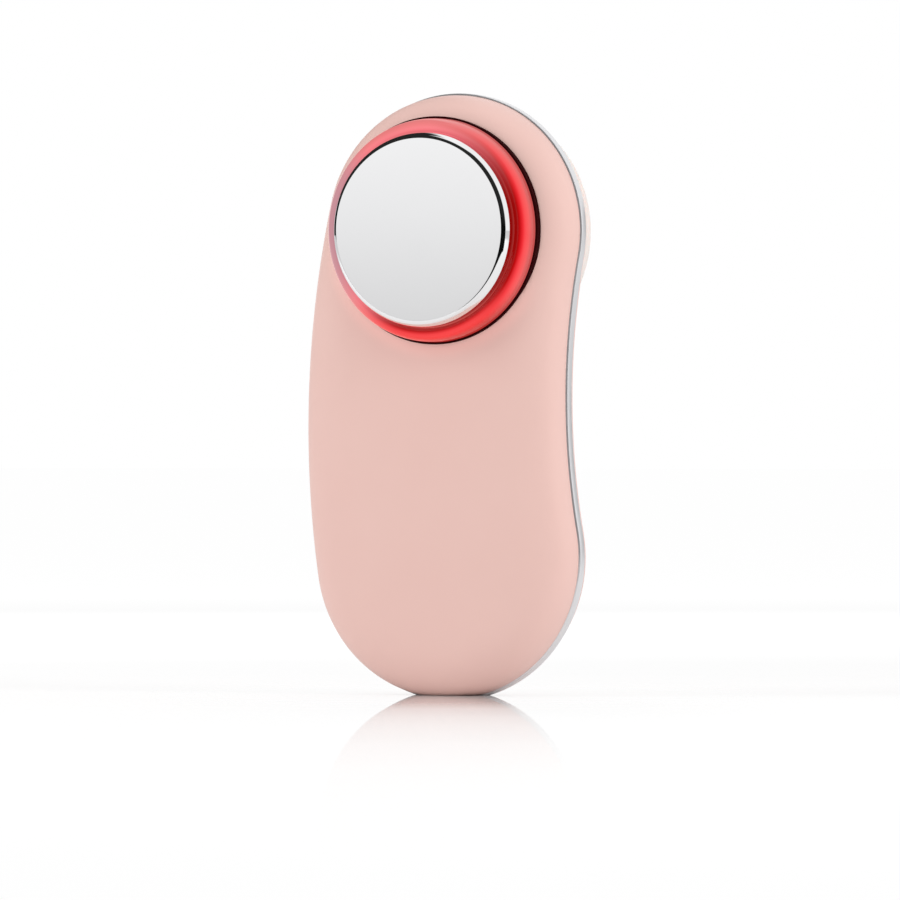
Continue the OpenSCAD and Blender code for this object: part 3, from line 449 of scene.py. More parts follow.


# Seal: black silicone rubber, moulded as a ring and pressed into the well round the diffuser, with a
# lip that laps over the shell. It is matt, and its colour has a painted red tint for the ring's light.
seal_outer, seal_back, lip_outer, lip_back, lip_break = WELL_RADIUS - 0.05, -7.4, 22.7, -10.75, 0.15
black_silicone, tree = new_material("black_silicone_rubber_moulded")
place_on = add_node(tree, "TexCoord").outputs["Object"]
grain = add_node(tree, "TexNoise", inputs={"Vector": place_on, "Scale": 1 / (0.4 * MM), "Detail": 2})
# Both tones are near black with a painted red tint that stands in for the ring's light on the rubber.
tone = add_node(
    tree, "Mix", {"data_type": "RGBA"},
    {0: grain.outputs["Fac"], 6: colour("#260204"), 7: colour("#2E0305")},
)
relief = add_node(
    tree, "Bump", inputs={"Height": grain.outputs["Fac"], "Strength": 0.2, "Distance": 0.01 * MM}
)
shader = add_node(
    tree, "BsdfPrincipled",
    inputs={
        "Base Color": tone.outputs[2],
        "Roughness": 0.6,
        "IOR": 1.41,
        "Specular IOR Level": 0.03,
        "Normal": relief.outputs[0],
    },
)
add_node(tree, "OutputMaterial", inputs={"Surface": shader.outputs[0]})
fit = 0.05  # clearance round the light ring
seal_inner, mouth = FLANGE_INNER + fit, RING_OUTER + fit
ring_seal = turned(
    "ring_seal_black",
    [
        (seal_inner, seal_back), (seal_outer, seal_back), (seal_outer, lip_back),
        (lip_outer, lip_back), (lip_outer, SEAL_FRONT + lip_break), (lip_outer - lip_break, SEAL_FRONT),
        (mouth, SEAL_FRONT), (mouth, FLANGE), (seal_inner, FLANGE), (seal_inner, seal_back),
    ],
)
soften(ring_seal, 0.06)
place(ring_seal, "housing", ["ring_seal"], black_silicone)


# Massage plate: a shallow steel cup, drawn and chrome-plated, that snaps over its carrier. Its face
# is all but flat and its rim is rolled over, so that it slides on skin. The plating is a clear mirror
# with a trace of polishing haze.
plate_front, plate_thick, skirt_end = -18.7, 0.7, -13.3
crown = 0.03
rim_start, rim_round = 18.1, 0.95  # where the face ends, and the radius of the rounding there
polished, tree = new_material("chrome_plated_steel_polished")
place_on = add_node(tree, "TexCoord").outputs["Object"]
haze = add_node(tree, "TexNoise", inputs={"Vector": place_on, "Scale": 1 / (6 * MM), "Detail": 3})
gloss = add_node(
    tree, "MapRange", inputs={"Value": haze.outputs["Fac"], "To Min": 0.04, "To Max": 0.055}
)
shader = add_node(
    tree, "BsdfPrincipled",
    inputs={
        "Base Color": colour("#F4F4F5"),
        "Metallic": 1,
        "Roughness": gloss.outputs[0],
    },
)
add_node(tree, "OutputMaterial", inputs={"Surface": shader.outputs[0]})
face = [
    (r, plate_front + crown * (r / rim_start) ** 2) for r in (*range(0, 16, 3), rim_start)
]
rim = [
    (
        rim_start + rim_round * math.sin(math.radians(t)),
        plate_front + crown + rim_round * (1 - math.cos(math.radians(t))),
    )
    for t in range(5, 58, 4)
]
tilts = range(59, 71)  # the rim's outer slope steepens a degree at a time
step = (PLATE_RADIUS - 0.01 - rim[-1][0]) / len(tilts)
for tilt in tilts:
    r, y = rim[-1]
    rim.append((r + step, y + step * math.tan(math.radians(tilt))))
skirt_inner, plate_inside = PLATE_RADIUS - plate_thick, plate_front + plate_thick
inner_bend = (1, 0.8)  # height and width of the bevel inside the cup
massage_plate = turned(
    "massage_plate_chromed",
    face
    + rim
    + [
        (PLATE_RADIUS, skirt_end), (skirt_inner, skirt_end),
        (skirt_inner, plate_inside + inner_bend[0]), (skirt_inner - inner_bend[1], plate_inside),
        (0, plate_inside),
    ],
)
soften(massage_plate, 0.1, 70)
place(massage_plate, "housing", ["massage_plate"], polished)


# Trim band: a loop of die-cast zinc, chrome-plated, that covers the joint and stands 0.4 mm proud of
# both shells. Its fine satin blurs the studio to soft greys.
band_proud, band_deep, band_round = 0.4, 2.2, 0.4
bright_trim, tree = new_material("chrome_plated_zinc_trim")
place_on = add_node(tree, "TexCoord").outputs["Object"]
haze = add_node(tree, "TexNoise", inputs={"Vector": place_on, "Scale": 1 / (5 * MM), "Detail": 3})
gloss = add_node(
    tree, "MapRange", inputs={"Value": haze.outputs["Fac"], "To Min": 0.27, "To Max": 0.33}
)
shader = add_node(
    tree, "BsdfPrincipled",
    inputs={
        "Base Color": colour("#E4E4E6"),
        "Metallic": 0.75,
        "Roughness": gloss.outputs[0],
    },
)
add_node(tree, "OutputMaterial", inputs={"Surface": shader.outputs[0]})
trim_band = outline("trim_band_chromed", -band_proud, FRONT_JOINT, -1)
bpy.ops.mesh.inset(thickness=band_deep * MM, depth=0, use_even_offset=True)
bpy.ops.mesh.delete(type="FACE")
bpy.ops.mesh.select_all(action="SELECT")
band_width = (0, (REAR_JOINT - FRONT_JOINT) * MM, 0)
bpy.ops.mesh.extrude_region_move(TRANSFORM_OT_translate={"value": band_width})
bpy.ops.mesh.select_all(action="SELECT")
bpy.ops.mesh.normals_make_consistent(inside=False)
bpy.ops.object.mode_set(mode="OBJECT")
apply_modifier(
    trim_band, "BEVEL", width=band_round * MM, segments=5, limit_method="ANGLE",
    angle_limit=math.radians(60),
)
stand_flat(trim_band)
bpy.ops.object.shade_smooth_by_angle(angle=math.radians(35))
place(trim_band, "housing", ["trim_band"], bright_trim)


# Rear shell: the same lacquered ABS, flatter than the front. It has the round seat for the brush
# pad, the holes for the buttons and lamps, two screw pockets and the recess of the charging port.
PAD_RADIUS, PAD_SEAT, PAD_FLOOR = 25.5, 2.2, 9.6
BUTTONS = (("power_button", 49, 5.3), ("mode_button", 35, 4.2))  # name, height and radius
SCREW_X, SCREW_Z = 17, 25
rear_clear = 14  # where cutters end, behind all
rear_depth, rear_edge, rear_power = 10.2, 16, 1.8
pad_well, seat_rim, platform, platform_inside = PAD_RADIUS + 2, 1.8, 18.6, 16.8
boss_radius, screw_hole, plug_hole = 3.35, 1.15, 2.1
lamp_hole, lamp_step, lamp_z = 0.95, 4, 60
button_gap = 0.2
rear_shell = outline("rear_shell_lacquered", 0, REAR_JOINT, 1)
round_over(rear_edge, rear_depth, rear_power)
bpy.ops.object.mode_set(mode="OBJECT")
apply_modifier(rear_shell, "SOLIDIFY", thickness=SHELL_WALL * MM, offset=-1, use_even_offset=True)
stand_flat(rear_shell)
wall_inset = 0.3
pad_wall = outline("pad_wall", wall_inset, REAR_JOINT, 1)
round_over(rear_edge, rear_depth - wall_inset, rear_power)
bpy.ops.mesh.select_all(action="DESELECT")
bpy.ops.mesh.select_non_manifold()
bpy.ops.mesh.edge_face_add()
bpy.ops.object.mode_set(mode="OBJECT")
seat_back = PAD_SEAT - seat_rim
pad_room = rods("pad_room", [(*HEAD, seat_back, rear_clear, pad_well + seat_rim)], 160)
combine(pad_wall, pad_room, "INTERSECT")
combine(rear_shell, pad_wall, "UNION")
well = rods("pad_well", [(*HEAD, PAD_SEAT, rear_clear, pad_well)], 192)
combine(rear_shell, well, "DIFFERENCE")
combine(rear_shell, rods("platform", [(*HEAD, seat_back, PAD_FLOOR, platform)], 96), "UNION")
platform_room = rods("platform_room", [(*HEAD, -2, PAD_FLOOR - SHELL_WALL, platform_inside)], 96)
combine(rear_shell, platform_room, "DIFFERENCE")


def blocks(name, sizes):
    """Blocks as one mesh, each given as its lowest and highest corner in mm."""
    piece = begin(name, 0, 0, 0)
    bpy.ops.mesh.delete(type="VERT")
    for low, high in sizes:
        bpy.ops.mesh.primitive_cube_add(
            size=1,
            location=[(a + b) / 2 * MM for a, b in zip(low, high)],
            scale=[(b - a) * MM for a, b in zip(low, high)],
        )
    bpy.ops.object.mode_set(mode="OBJECT")
    return piece


screw_places = [(-SCREW_X, SCREW_Z), (SCREW_X, SCREW_Z)]
bosses = rods("screw_bosses", [(*spot, -1.2, 9.9, boss_radius) for spot in screw_places])
combine(rear_shell, bosses, "UNION")
combine(rear_shell, blocks("port_block", [((-8.5, 8, 15.9), (8.5, 10, 26.05))]), "UNION")
holes = [(*spot, 7.6, rear_clear, plug_hole) for spot in screw_places]
holes += [(0, z, 8, rear_clear, radius + button_gap) for name, z, radius in BUTTONS]
holes += [(k * lamp_step, lamp_z, 8, rear_clear, lamp_hole) for k in (-1, 0, 1)]
combine(rear_shell, rods("holes", holes, 96), "DIFFERENCE")
screw_holes = rods("screw_holes", [(*spot, -4, 9, screw_hole) for spot in screw_places])
combine(rear_shell, screw_holes, "DIFFERENCE")
port_recess = blocks("port_recess", [((-6.5, 9.8, 17.5), (6.5, rear_clear, 24.6))])
combine(rear_shell, port_recess, "DIFFERENCE")
slot_half, slot_end, slot_z = 2.84, 1.83, 20.2  # the charging slot has round ends
slot = blocks("socket_slot", [((-slot_half, 7, slot_z - slot_end), (slot_half, 11, slot_z + slot_end))])
combine(rear_shell, slot, "DIFFERENCE")
slot_ends = rods("socket_slot_ends", [(x, slot_z, 7, 11, slot_end) for x in (-slot_half, slot_half)])
combine(rear_shell, slot_ends, "DIFFERENCE")
soften(rear_shell, SHELL_BREAK)
place(rear_shell, "housing", ["rear_shell"], soft_touch)


# Buttons: caps of chrome-plated ABS with a shallow dish for the fingertip. Each has a flange that
# keeps it in its hole and a stem that meets the switch. Their satin plating blurs what it mirrors.
plated_button, tree = new_material("chrome_plated_abs_satin")
place_on = add_node(tree, "TexCoord").outputs["Object"]
haze = add_node(tree, "TexNoise", inputs={"Vector": place_on, "Scale": 1 / (2 * MM), "Detail": 3})
gloss = add_node(
    tree, "MapRange", inputs={"Value": haze.outputs["Fac"], "To Min": 0.2, "To Max": 0.26}
)
shader = add_node(
    tree, "BsdfPrincipled",
    inputs={"Base Color": colour("#E2E0E0"), "Metallic": 1, "Roughness": gloss.outputs[0]},
)
add_node(tree, "OutputMaterial", inputs={"Surface": shader.outputs[0]})
stem, stem_back, flange_back, flange_front, button_front = 2.15, 7.8, 8.6, 9.6, 11.9
for name, z, radius in BUTTONS:
    body = [
        (0, stem_back), (stem, stem_back), (stem, flange_back), (radius + 1, flange_back),
        (radius + 1, flange_front), (radius, flange_front), (radius, button_front),
    ]
    dish = [
        (radius - 1, button_front), (radius - 1.6, button_front - 0.12),
        (radius - 2.4, button_front - 0.22), (radius * 0.3, button_front - 0.28), (0, button_front - 0.3),
    ]
    button = turned(name + "_cap", body + dish, (0, z), 96)
    soften(button, 0.25)
    place(button, name, [name], plated_button)


# Port cover and screw plugs: pink silicone, moulded and matt, a shade deeper than the lacquer. The
# cover is a flap that hangs from a round hinge at its upper edge, and the plugs fill the two pockets
# of the case screws.
pink_silicone, tree = new_material("pink_silicone_moulded")
place_on = add_node(tree, "TexCoord").outputs["Object"]
grain = add_node(tree, "TexNoise", inputs={"Vector": place_on, "Scale": 1 / (0.4 * MM), "Detail": 2})
tone = add_node(
    tree, "Mix", {"data_type": "RGBA"},
    {0: grain.outputs["Fac"], 6: colour("#DDB0A8"), 7: colour("#E2B7AF")},
)
shader = add_node(
    tree, "BsdfPrincipled",
    inputs={"Base Color": tone.outputs[2], "Roughness": 0.6, "IOR": 1.41, "Sheen Weight": 0.1},
)
add_node(tree, "OutputMaterial", inputs={"Surface": shader.outputs[0]})
hinge_y, hinge_z, hinge_radius = 10.65, 23.5, 0.75
flap_half, flap_low, flap_y = 6.3, 17.7, (9.9, 11.4)
flap = ((-flap_half, flap_y[0], flap_low), (flap_half, flap_y[1], hinge_z))
port_cover = blocks("port_cover_flap", [flap])
bpy.ops.object.mode_set(mode="EDIT")
bpy.ops.mesh.select_all(action="DESELECT")
bpy.ops.object.mode_set(mode="OBJECT")
for edge in port_cover.data.edges:
    a, b = [port_cover.data.vertices[v].co for v in edge.vertices]
    edge.select = abs(a.y - b.y) > 1 * MM and a.z < hinge_z * MM - 3.5 * MM
bpy.ops.object.mode_set(mode="EDIT")
bpy.ops.mesh.bevel(offset=1.4 * MM, segments=6)
bpy.ops.mesh.select_all(action="SELECT")
bpy.ops.mesh.primitive_cylinder_add(
    vertices=32, radius=hinge_radius * MM, depth=2 * flap_half * MM,
    location=(0, hinge_y * MM, hinge_z * MM), rotation=(0, math.pi / 2, 0),
)
bpy.ops.object.mode_set(mode="OBJECT")
soften(port_cover, 0.2)
place(port_cover, "port_cover", ["port_cover"], pink_silicone)
plug_radius, plug_back, plug_front = 2.05, 8.8, 10.4
plug = [
    (0, plug_back), (plug_radius, plug_back), (plug_radius, plug_front), (1.5, plug_front),
    (0.8, plug_front - 0.1), (0, plug_front - 0.12),
]
plugs, second_plug = [turned("screw_plugs_soft", plug, spot, 48) for spot in screw_places]
bpy.ops.object.select_all(action="DESELECT")
second_plug.select_set(True)
plugs.select_set(True)
bpy.context.view_layer.objects.active = plugs
bpy.ops.object.join()
soften(plugs, 0.2)
place(plugs, "housing", ["screw_plugs"], pink_silicone)


# Brush pad: liquid silicone, moulded in one with its nubs. It is soft and slightly see-through, so
# that light bleeds into the nubs and the rounded edge.
pale_silicone, tree = new_material("pale_liquid_silicone_moulded")
place_on = add_node(tree, "TexCoord").outputs["Object"]
grain = add_node(tree, "TexNoise", inputs={"Vector": place_on, "Scale": 1 / (0.6 * MM), "Detail": 2})
tone = add_node(
    tree, "Mix", {"data_type": "RGBA"},
    {0: grain.outputs["Fac"], 6: colour("#E9DCD6"), 7: colour("#EDE2DC")},
)
relief = add_node(
    tree, "Bump", inputs={"Height": grain.outputs["Fac"], "Strength": 0.15, "Distance": 0.02 * MM}
)
shader = add_node(
    tree, "BsdfPrincipled",
    inputs={
        "Base Color": tone.outputs[2],
        "Roughness": 0.5,
        "IOR": 1.41,
        "Subsurface Weight": 0.3,
        "Subsurface Radius": (2 * MM, 1.2 * MM, 1 * MM),
        "Subsurface Scale": 1,
        "Normal": relief.outputs[0],
    },
)
add_node(tree, "OutputMaterial", inputs={"Surface": shader.outputs[0]})
pad_back, pad_face, wall, skin = 2.25, 12.5, 1.15, 2.85
edge_width, edge_depth = 7, 6
rounded = [
    (
        PAD_RADIUS - edge_width * (1 - math.cos(math.radians(a))),
        pad_face - edge_depth * (1 - math.sin(math.radians(a))),
    )
    for a in range(0, 91, 6)
]
pad_inner = PAD_RADIUS - wall
frame_front, pad_inside = pad_back + 1.2, pad_face - skin
platform_fit = platform + 0.05
brush_pad = turned(
    "brush_pad_silicone",
    [(pad_inner, pad_back), (PAD_RADIUS, pad_back)]
    + rounded
    + [
        (0, pad_face), (0, pad_inside), (platform_fit, pad_inside), (platform_fit, frame_front),
        (pad_inner, frame_front), (pad_inner, pad_back),
    ],
)
nub_tip = 15
fine_step, stout_ring = 2.9, 21.3
fine_rings, stout_count = 6, 30


def nub(name, root, profile):
    """One moulded nub on the head's axis, from its root and points of radius and depth below the tip."""
    return turned(name, root + [(r, nub_tip - depth) for r, depth in profile] + [(0, nub_tip)], HEAD, 12)


fine = nub(
    "fine_nub",
    [(0, 12.2), (1.2, 12.42)],
    [(0.92, 2.35), (0.76, 1.95), (0.62, 0.8), (0.46, 0.18), (0.24, 0.03)],
)
stout = nub(
    "stout_nub",
    [(0, 11), (1.5, 11.5)],
    [(1.25, 2.6), (1.08, 1.9), (0.9, 0.7), (0.68, 0.2), (0.36, 0.03)],
)
spots = [
    (fine, ring * fine_step, k * 60 / ring) for ring in range(1, fine_rings + 1) for k in range(6 * ring)
]
spots += [(stout, stout_ring, k * 360 / stout_count) for k in range(stout_count)]
for pattern, r, a in spots:
    copy = pattern.copy()
    copy.data = pattern.data.copy()
    bpy.context.collection.objects.link(copy)
    copy.location = (r * MM * math.cos(math.radians(a)), 0, r * MM * math.sin(math.radians(a)))
bpy.data.objects.remove(stout)
bpy.ops.object.select_all(action="DESELECT")
for piece in bpy.data.objects:
    if piece.name.startswith(("fine_nub", "stout_nub")):
        piece.select_set(True)
bpy.context.view_layer.objects.active = fine
bpy.ops.object.transform_apply(location=True, rotation=False, scale=False)
brush_pad.select_set(True)
bpy.context.view_layer.objects.active = brush_pad
bpy.ops.object.join()
bpy.ops.object.shade_smooth_by_angle(angle=math.radians(40))
place(brush_pad, "housing", ["brush_pad"], pale_silicone)


# Pieces inside: boards, cell, motor, heater, switches, screws and leads. Each keeps the shape of its
# solid and gets the finish of its stuff, whose grain is drawn coarse enough to show.
def plain_finish(name, codes, roughness, metallic=0, grain_mm=1, bump=0.02, ior=1.5):
    """Material with two close tones in a grain of a real size, and roughness to match."""
    material, tree = new_material(name)
    place_on = add_node(tree, "TexCoord").outputs["Object"]
    grain = add_node(
        tree, "TexNoise", inputs={"Vector": place_on, "Scale": 1 / (grain_mm * MM), "Detail": 3}
    )
    tone = add_node(
        tree, "Mix", {"data_type": "RGBA"},
        {0: grain.outputs["Fac"], 6: colour(codes[0]), 7: colour(codes[1])},
    )
    gloss = add_node(
        tree, "MapRange",
        inputs={"Value": grain.outputs["Fac"], "To Min": roughness * 0.9, "To Max": roughness * 1.1},
    )
    relief = add_node(
        tree, "Bump", inputs={"Height": grain.outputs["Fac"], "Strength": 0.3, "Distance": bump * MM}
    )
    inputs = {
        "Base Color": tone.outputs[2],
        "Roughness": gloss.outputs[0],
        "Metallic": metallic,
        "Normal": relief.outputs[0],
    }
    if not metallic:
        inputs["IOR"] = ior
    shader = add_node(tree, "BsdfPrincipled", inputs=inputs)
    add_node(tree, "OutputMaterial", inputs={"Surface": shader.outputs[0]})
    return material


dress(
    ["case_gasket", "motor_sleeve"],
    plain_finish("nitrile_rubber_moulded", ("#26262A", "#303034"), 0.7),
)
dress(
    ["plate_carrier", "pad_frame", "cell_connector", "motor_connector", "heater_connector"],
    plain_finish("white_nylon_moulded", ("#E6E6E0", "#EEEEE9"), 0.45, grain_mm=0.5),
)
dress(["ring_board"], plain_finish("white_solder_mask_on_glass_epoxy", ("#E4E6E2", "#F0F1EE"), 0.35))
dress(
    ["main_board", "protection_board"],
    plain_finish("green_solder_mask_on_glass_epoxy", ("#1F5A38", "#2A6E47"), 0.3, grain_mm=0.8),
)
dress(
    ["heating_film"],
    plain_finish("copper_track_on_polyimide", ("#B06A2C", "#C98244"), 0.35, 1, grain_mm=0.6),
)
dress(
    ["motor_armature"],
    plain_finish("enamelled_copper_wire_wound", ("#A85A24", "#C87838"), 0.3, 1, grain_mm=0.3, bump=0.1),
)
dress(
    [
        "thermistor", "motor_end_cap", "controller_chip", "charger_chip", "boost_inductor",
        "power_switch", "mode_switch", "power_plunger", "mode_plunger", "socket_tongue",
    ],
    plain_finish("black_glass_filled_nylon", ("#18181A", "#242427"), 0.5, grain_mm=0.4),
)
dress(
    ["ring_lamps_red"],
    plain_finish("red_epoxy_lamp", ("#D81414", "#F02A20"), 0.15, grain_mm=2, ior=1.52),
)
dress(["indicator_lamps"], plain_finish("white_phosphor_lamp", ("#F4F0D8", "#FBF8E6"), 0.3))
dress(
    ["carrier_screws", "case_screws", "board_screws", "motor_can", "motor_shaft", "charging_socket"],
    plain_finish("nickel_plated_steel", ("#B0B2B4", "#C4C6C8"), 0.28, 1, grain_mm=0.5, bump=0.005),
)
dress(["motor_magnets"], plain_finish("sintered_ferrite", ("#36363A", "#48484C"), 0.6, grain_mm=0.2))
dress(
    ["eccentric_weight"],
    plain_finish("machined_brass", ("#B8923E", "#CBA654"), 0.3, 1, grain_mm=0.5),
)
dress(["board_capacitor"], plain_finish("drawn_aluminium_can", ("#BFC1C4", "#D0D2D4"), 0.3, 1))
dress(
    ["lithium_cell"],
    plain_finish(
        "aluminium_laminate_pouch", ("#A9ACB0", "#BCBFC2"), 0.38, 1, grain_mm=1.5, bump=0.05
    ),
)
dress(
    ["cell_foam"],
    plain_finish("grey_polyurethane_foam", ("#4A4A4E", "#66666A"), 0.9, grain_mm=0.4, bump=0.1),
)
dress(["cell_lead"], plain_finish("red_wire_jacket", ("#A81C22", "#BC2A2E"), 0.45))
dress(["motor_lead"], plain_finish("blue_wire_jacket", ("#1F4AA0", "#2C5AB4"), 0.45))
dress(["heater_lead"], plain_finish("yellow_wire_jacket", ("#D6A718", "#E4B82A"), 0.45))

# Light pipes: clear polycarbonate, polished at their outer ends and frosted by the mould elsewhere.
clear_pipe, tree = new_material("clear_polycarbonate_light_pipe")
place_on = add_node(tree, "TexCoord").outputs["Object"]
frost = add_node(tree, "TexNoise", inputs={"Vector": place_on, "Scale": 1 / (0.5 * MM)})
gloss = add_node(
    tree, "MapRange", inputs={"Value": frost.outputs["Fac"], "To Min": 0.2, "To Max": 0.35}
)
shader = add_node(
    tree, "BsdfPrincipled",
    inputs={
        "Base Color": colour("#F2F2F4"),
        "Roughness": gloss.outputs[0],
        "IOR": 1.58,
        "Transmission Weight": 0.6,
    },
)
add_node(tree, "OutputMaterial", inputs={"Surface": shader.outputs[0]})
dress(["light_pipes"], clear_pipe)


# Studio floor: white acrylic sheet. Its mirror image of the brush fades within a hand's width, and
# it keeps the shadow under the base. A little glow evens out the lamps' fall-off with distance.
white_sheet, tree = new_material("white_acrylic_sheet")
place_on = add_node(tree, "TexCoord").outputs["Object"]
distance = add_node(tree, "VectorMath", {"operation": "LENGTH"}, {0: place_on})
seen = add_node(tree, "LightPath").outputs["Is Camera Ray"]
near = add_node(
    tree, "MapRange", inputs={"Value": distance.outputs["Value"], "From Min": 0, "From Max": 0.7}
)
fade = add_node(
    tree, "ValToRGB", inputs={"Fac": near.outputs[0]},
    stops=[
        (0, 0.8), (0.08, 0.74), (0.11, 0.6), (0.14, 0.46), (0.22, 0.31), (0.29, 0.24), (0.36, 0.19),
        (0.43, 0.135), (0.6, 0.08), (1, 0),
    ],
)
far = add_node(
    tree, "MapRange", inputs={"Value": distance.outputs["Value"], "From Min": 0, "From Max": 1.2}
)
evening = add_node(
    tree, "ValToRGB", inputs={"Fac": far.outputs[0]},
    stops=[
        (0, 0.1), (0.14, 0.095), (0.23, 0.105), (0.31, 0.135), (0.45, 0.19), (0.67, 0.255), (1, 0.32),
    ],
)
lift = add_node(tree, "Math", {"operation": "MULTIPLY"}, {0: seen, 1: evening.outputs["Color"]})
matt = add_node(tree, "BsdfDiffuse", inputs={"Color": (0.82, 0.82, 0.82, 1)})
glow = add_node(tree, "Emission", inputs={"Strength": lift.outputs[0]})
sheet = add_node(tree, "AddShader", inputs={0: matt.outputs[0], 1: glow.outputs[0]})
mirror = add_node(tree, "BsdfGlossy", inputs={"Color": (1, 1, 1, 1), "Roughness": 0})
share = add_node(tree, "Math", {"operation": "MULTIPLY"}, {0: seen, 1: fade.outputs["Color"]})
mixed = add_node(
    tree, "MixShader", inputs={0: share.outputs[0], 1: sheet.outputs[0], 2: mirror.outputs[0]}
)
add_node(tree, "OutputMaterial", inputs={"Surface": mixed.outputs[0]})
bpy.ops.object.select_all(action="DESELECT")
bpy.ops.mesh.primitive_plane_add(size=40)
floor = bpy.context.object
floor.name = "studio_floor"
floor.data.materials.append(white_sheet)

# Studio light: an even white room, and for the reflections in chrome a soft box at the front left
# with black cards beside and above it, a pale wall on the right and a grey card behind it.
world = bpy.data.worlds.new("soft_studio")
bpy.context.scene.world = world
world.use_nodes = True
world.cycles.sampling_method = "NONE"
tree = world.node_tree
tree.nodes.clear()
skyward = add_node(tree, "TexCoord").outputs["Generated"]
direction = add_node(tree, "SeparateXYZ", inputs={0: skyward})
forwards = add_node(
    tree, "Math", {"operation": "MULTIPLY"}, {0: direction.outputs["Y"], 1: -1}
)
azimuth = add_node(
    tree, "Math", {"operation": "ARCTAN2"}, {0: direction.outputs["X"], 1: forwards.outputs[0]}
)
turn = add_node(
    tree, "MapRange",
    inputs={"Value": azimuth.outputs[0], "From Min": -math.pi, "From Max": math.pi},
)
elevation = add_node(tree, "Math", {"operation": "ARCSINE"}, {0: direction.outputs["Z"]})
height = add_node(
    tree, "MapRange",
    inputs={"Value": elevation.outputs[0], "From Min": 0, "From Max": math.pi / 2},
)


def around(*stops):
    """Grey level at each azimuth of -180 to 180 degrees, 0 being in front and 90 on the right."""
    stops = [((angle + 180) / 360, level) for angle, level in stops]
    return add_node(tree, "ValToRGB", inputs={"Fac": turn.outputs[0]}, stops=stops).outputs["Color"]


def upwards(*stops):
    """Grey level at each elevation of 0 to 90 degrees."""
    stops = [(angle / 90, level) for angle, level in stops]
    return add_node(tree, "ValToRGB", inputs={"Fac": height.outputs[0]}, stops=stops).outputs["Color"]


level_with_it = around(
    (-180, 1), (-140, 1), (-112, 0.5), (-104, 0.02), (-42, 0.02), (-38, 0.99), (-19, 0.99), (-16, 0.01),
    (88, 0.01), (95, 0.95), (150, 1), (155, 0.12), (168, 0.12), (173, 1), (180, 1),
)
above_it = around((-180, 1), (-154, 1), (-146, 0.02), (86, 0.02), (94, 0.95), (180, 0.95))
in_front = around((-180, 0), (-60, 0), (-50, 1), (0, 1), (6, 0), (180, 0))
fall_off = upwards((0, 0.72), (0.8, 0.8), (1.6, 0.92), (2.6, 1), (90, 1))
upper = upwards((0, 0), (7, 0), (10, 1), (90, 1))
ceiling = upwards((0, 0), (70, 0), (78, 1), (90, 1))
front_room = add_node(
    tree, "Mix", {"data_type": "RGBA", "blend_type": "MULTIPLY"},
    {0: in_front, 6: level_with_it, 7: fall_off},
)
room = add_node(
    tree, "Mix", {"data_type": "RGBA"}, {0: upper, 6: front_room.outputs[2], 7: above_it}
)
seen_in_chrome = add_node(
    tree, "Mix", {"data_type": "RGBA"}, {0: ceiling, 6: room.outputs[2], 7: (1, 1, 1, 1)}
)
path = add_node(tree, "LightPath")
even = add_node(
    tree, "Mix", {"data_type": "RGBA"},
    {0: path.outputs["Is Glossy Ray"], 6: (0.82, 0.82, 0.82, 1), 7: seen_in_chrome.outputs[2]},
)
direct = add_node(
    tree, "Math", {"operation": "MAXIMUM"},
    {0: path.outputs["Is Camera Ray"], 1: path.outputs["Is Transmission Ray"]},
)
seen = add_node(
    tree, "Math", {"operation": "MAXIMUM"},
    {0: direct.outputs[0], 1: path.outputs["Is Singular Ray"]},
)
shown = add_node(
    tree, "Mix", {"data_type": "RGBA"}, {0: seen.outputs[0], 6: even.outputs[2], 7: (1, 1, 1, 1)}
)
background = add_node(tree, "Background", inputs={"Color": shown.outputs[2], "Strength": 1.0})
add_node(tree, "OutputWorld", inputs={"Surface": background.outputs[0]})

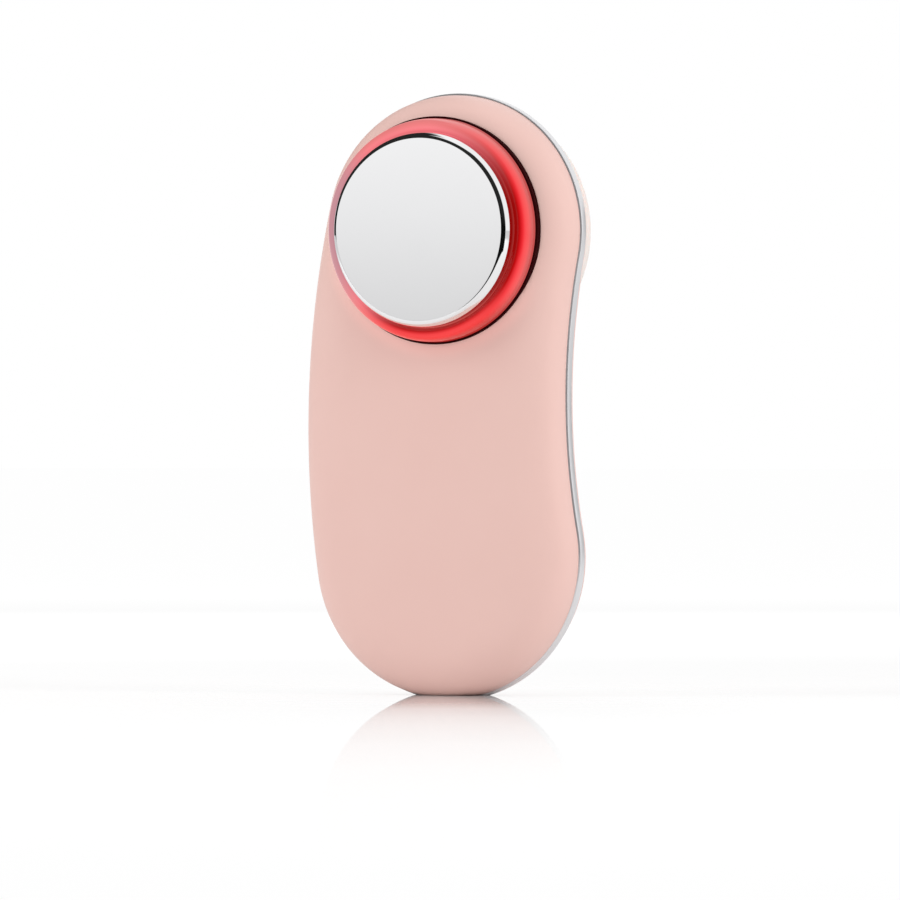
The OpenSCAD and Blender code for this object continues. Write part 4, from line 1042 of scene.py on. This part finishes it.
# Black card: it stands on the floor at the front right, and only blurred reflections show it.
black_card, tree = new_material("black_velvet_card")
place_on = add_node(tree, "TexCoord").outputs["Object"]
pile = add_node(tree, "TexNoise", inputs={"Vector": place_on, "Scale": 1 / (2 * MM)})
tone = add_node(
    tree, "Mix", {"data_type": "RGBA"},
    {0: pile.outputs["Fac"], 6: colour("#0C0C0C"), 7: colour("#121212")},
)
velvet = add_node(tree, "BsdfDiffuse", inputs={"Color": tone.outputs[2]})
clear = add_node(tree, "BsdfTransparent")
path = add_node(tree, "LightPath")
mixed = add_node(
    tree, "MixShader",
    inputs={0: path.outputs["Is Singular Ray"], 1: velvet.outputs[0], 2: clear.outputs[0]},
)
add_node(tree, "OutputMaterial", inputs={"Surface": mixed.outputs[0]})
card_radius, card_low, card_height = 280, 1, 110
start, end = math.radians(-15), math.radians(88)
card = begin("black_card", card_radius * math.sin(start), -card_radius * math.cos(start), card_low)
bpy.ops.mesh.extrude_vertices_move(TRANSFORM_OT_translate={"value": (0, 0, card_height * MM)})
bpy.ops.mesh.select_all(action="SELECT")
bpy.ops.mesh.spin(steps=40, angle=start - end, center=(0, 0, 0), axis=(0, 0, 1))
bpy.ops.object.mode_set(mode="OBJECT")
card.data.materials.clear()
card.data.materials.append(black_card)
card.visible_camera = False
card.visible_diffuse = False
card.visible_shadow = False
card.visible_transmission = False

# Lamps: large soft boxes that chrome doesn't show. Each has an azimuth and elevation in degrees, a
# distance and size in metres and a power in watts.
aim = Vector((0, 0, 0.06))
for name, bearing, rise, reach, size, power in (
    ("key", -52, 26, 0.7, 0.35, 1.2),
    ("right", 80, 24, 0.7, 0.35, 1.4),
    ("rear", -150, 30, 0.8, 0.5, 0.8),
):
    lamp = bpy.data.lights.new(name, "AREA")
    lamp.size = size
    lamp.energy = power
    holder = bpy.data.objects.new(name, lamp)
    bpy.context.collection.objects.link(holder)
    a, e = math.radians(bearing), math.radians(rise)
    away = Vector((math.sin(a) * math.cos(e), -math.cos(a) * math.cos(e), math.sin(e)))
    holder.location = aim + reach * away
    holder.rotation_euler = away.to_track_quat("Z", "Y").to_euler()
    holder.visible_glossy = False

# Camera: a long lens level with the grip, 26 degrees round to the right of the plate's axis.
bearing = math.radians(25.75)
looks_at, camera_distance = Vector((-0.05, FRONT_JOINT, 49)) * MM, 1.8
lens = bpy.data.cameras.new("camera")
lens.sensor_width = 36
lens.lens = 360
camera = bpy.data.objects.new("camera", lens)
bpy.context.collection.objects.link(camera)
towards_camera = Vector((math.sin(bearing), -math.cos(bearing), 0))
camera.location = looks_at + camera_distance * towards_camera
camera.rotation_euler = (math.pi / 2, 0, bearing)
bpy.context.scene.camera = camera
bpy.context.scene.view_settings.view_transform = "Standard"
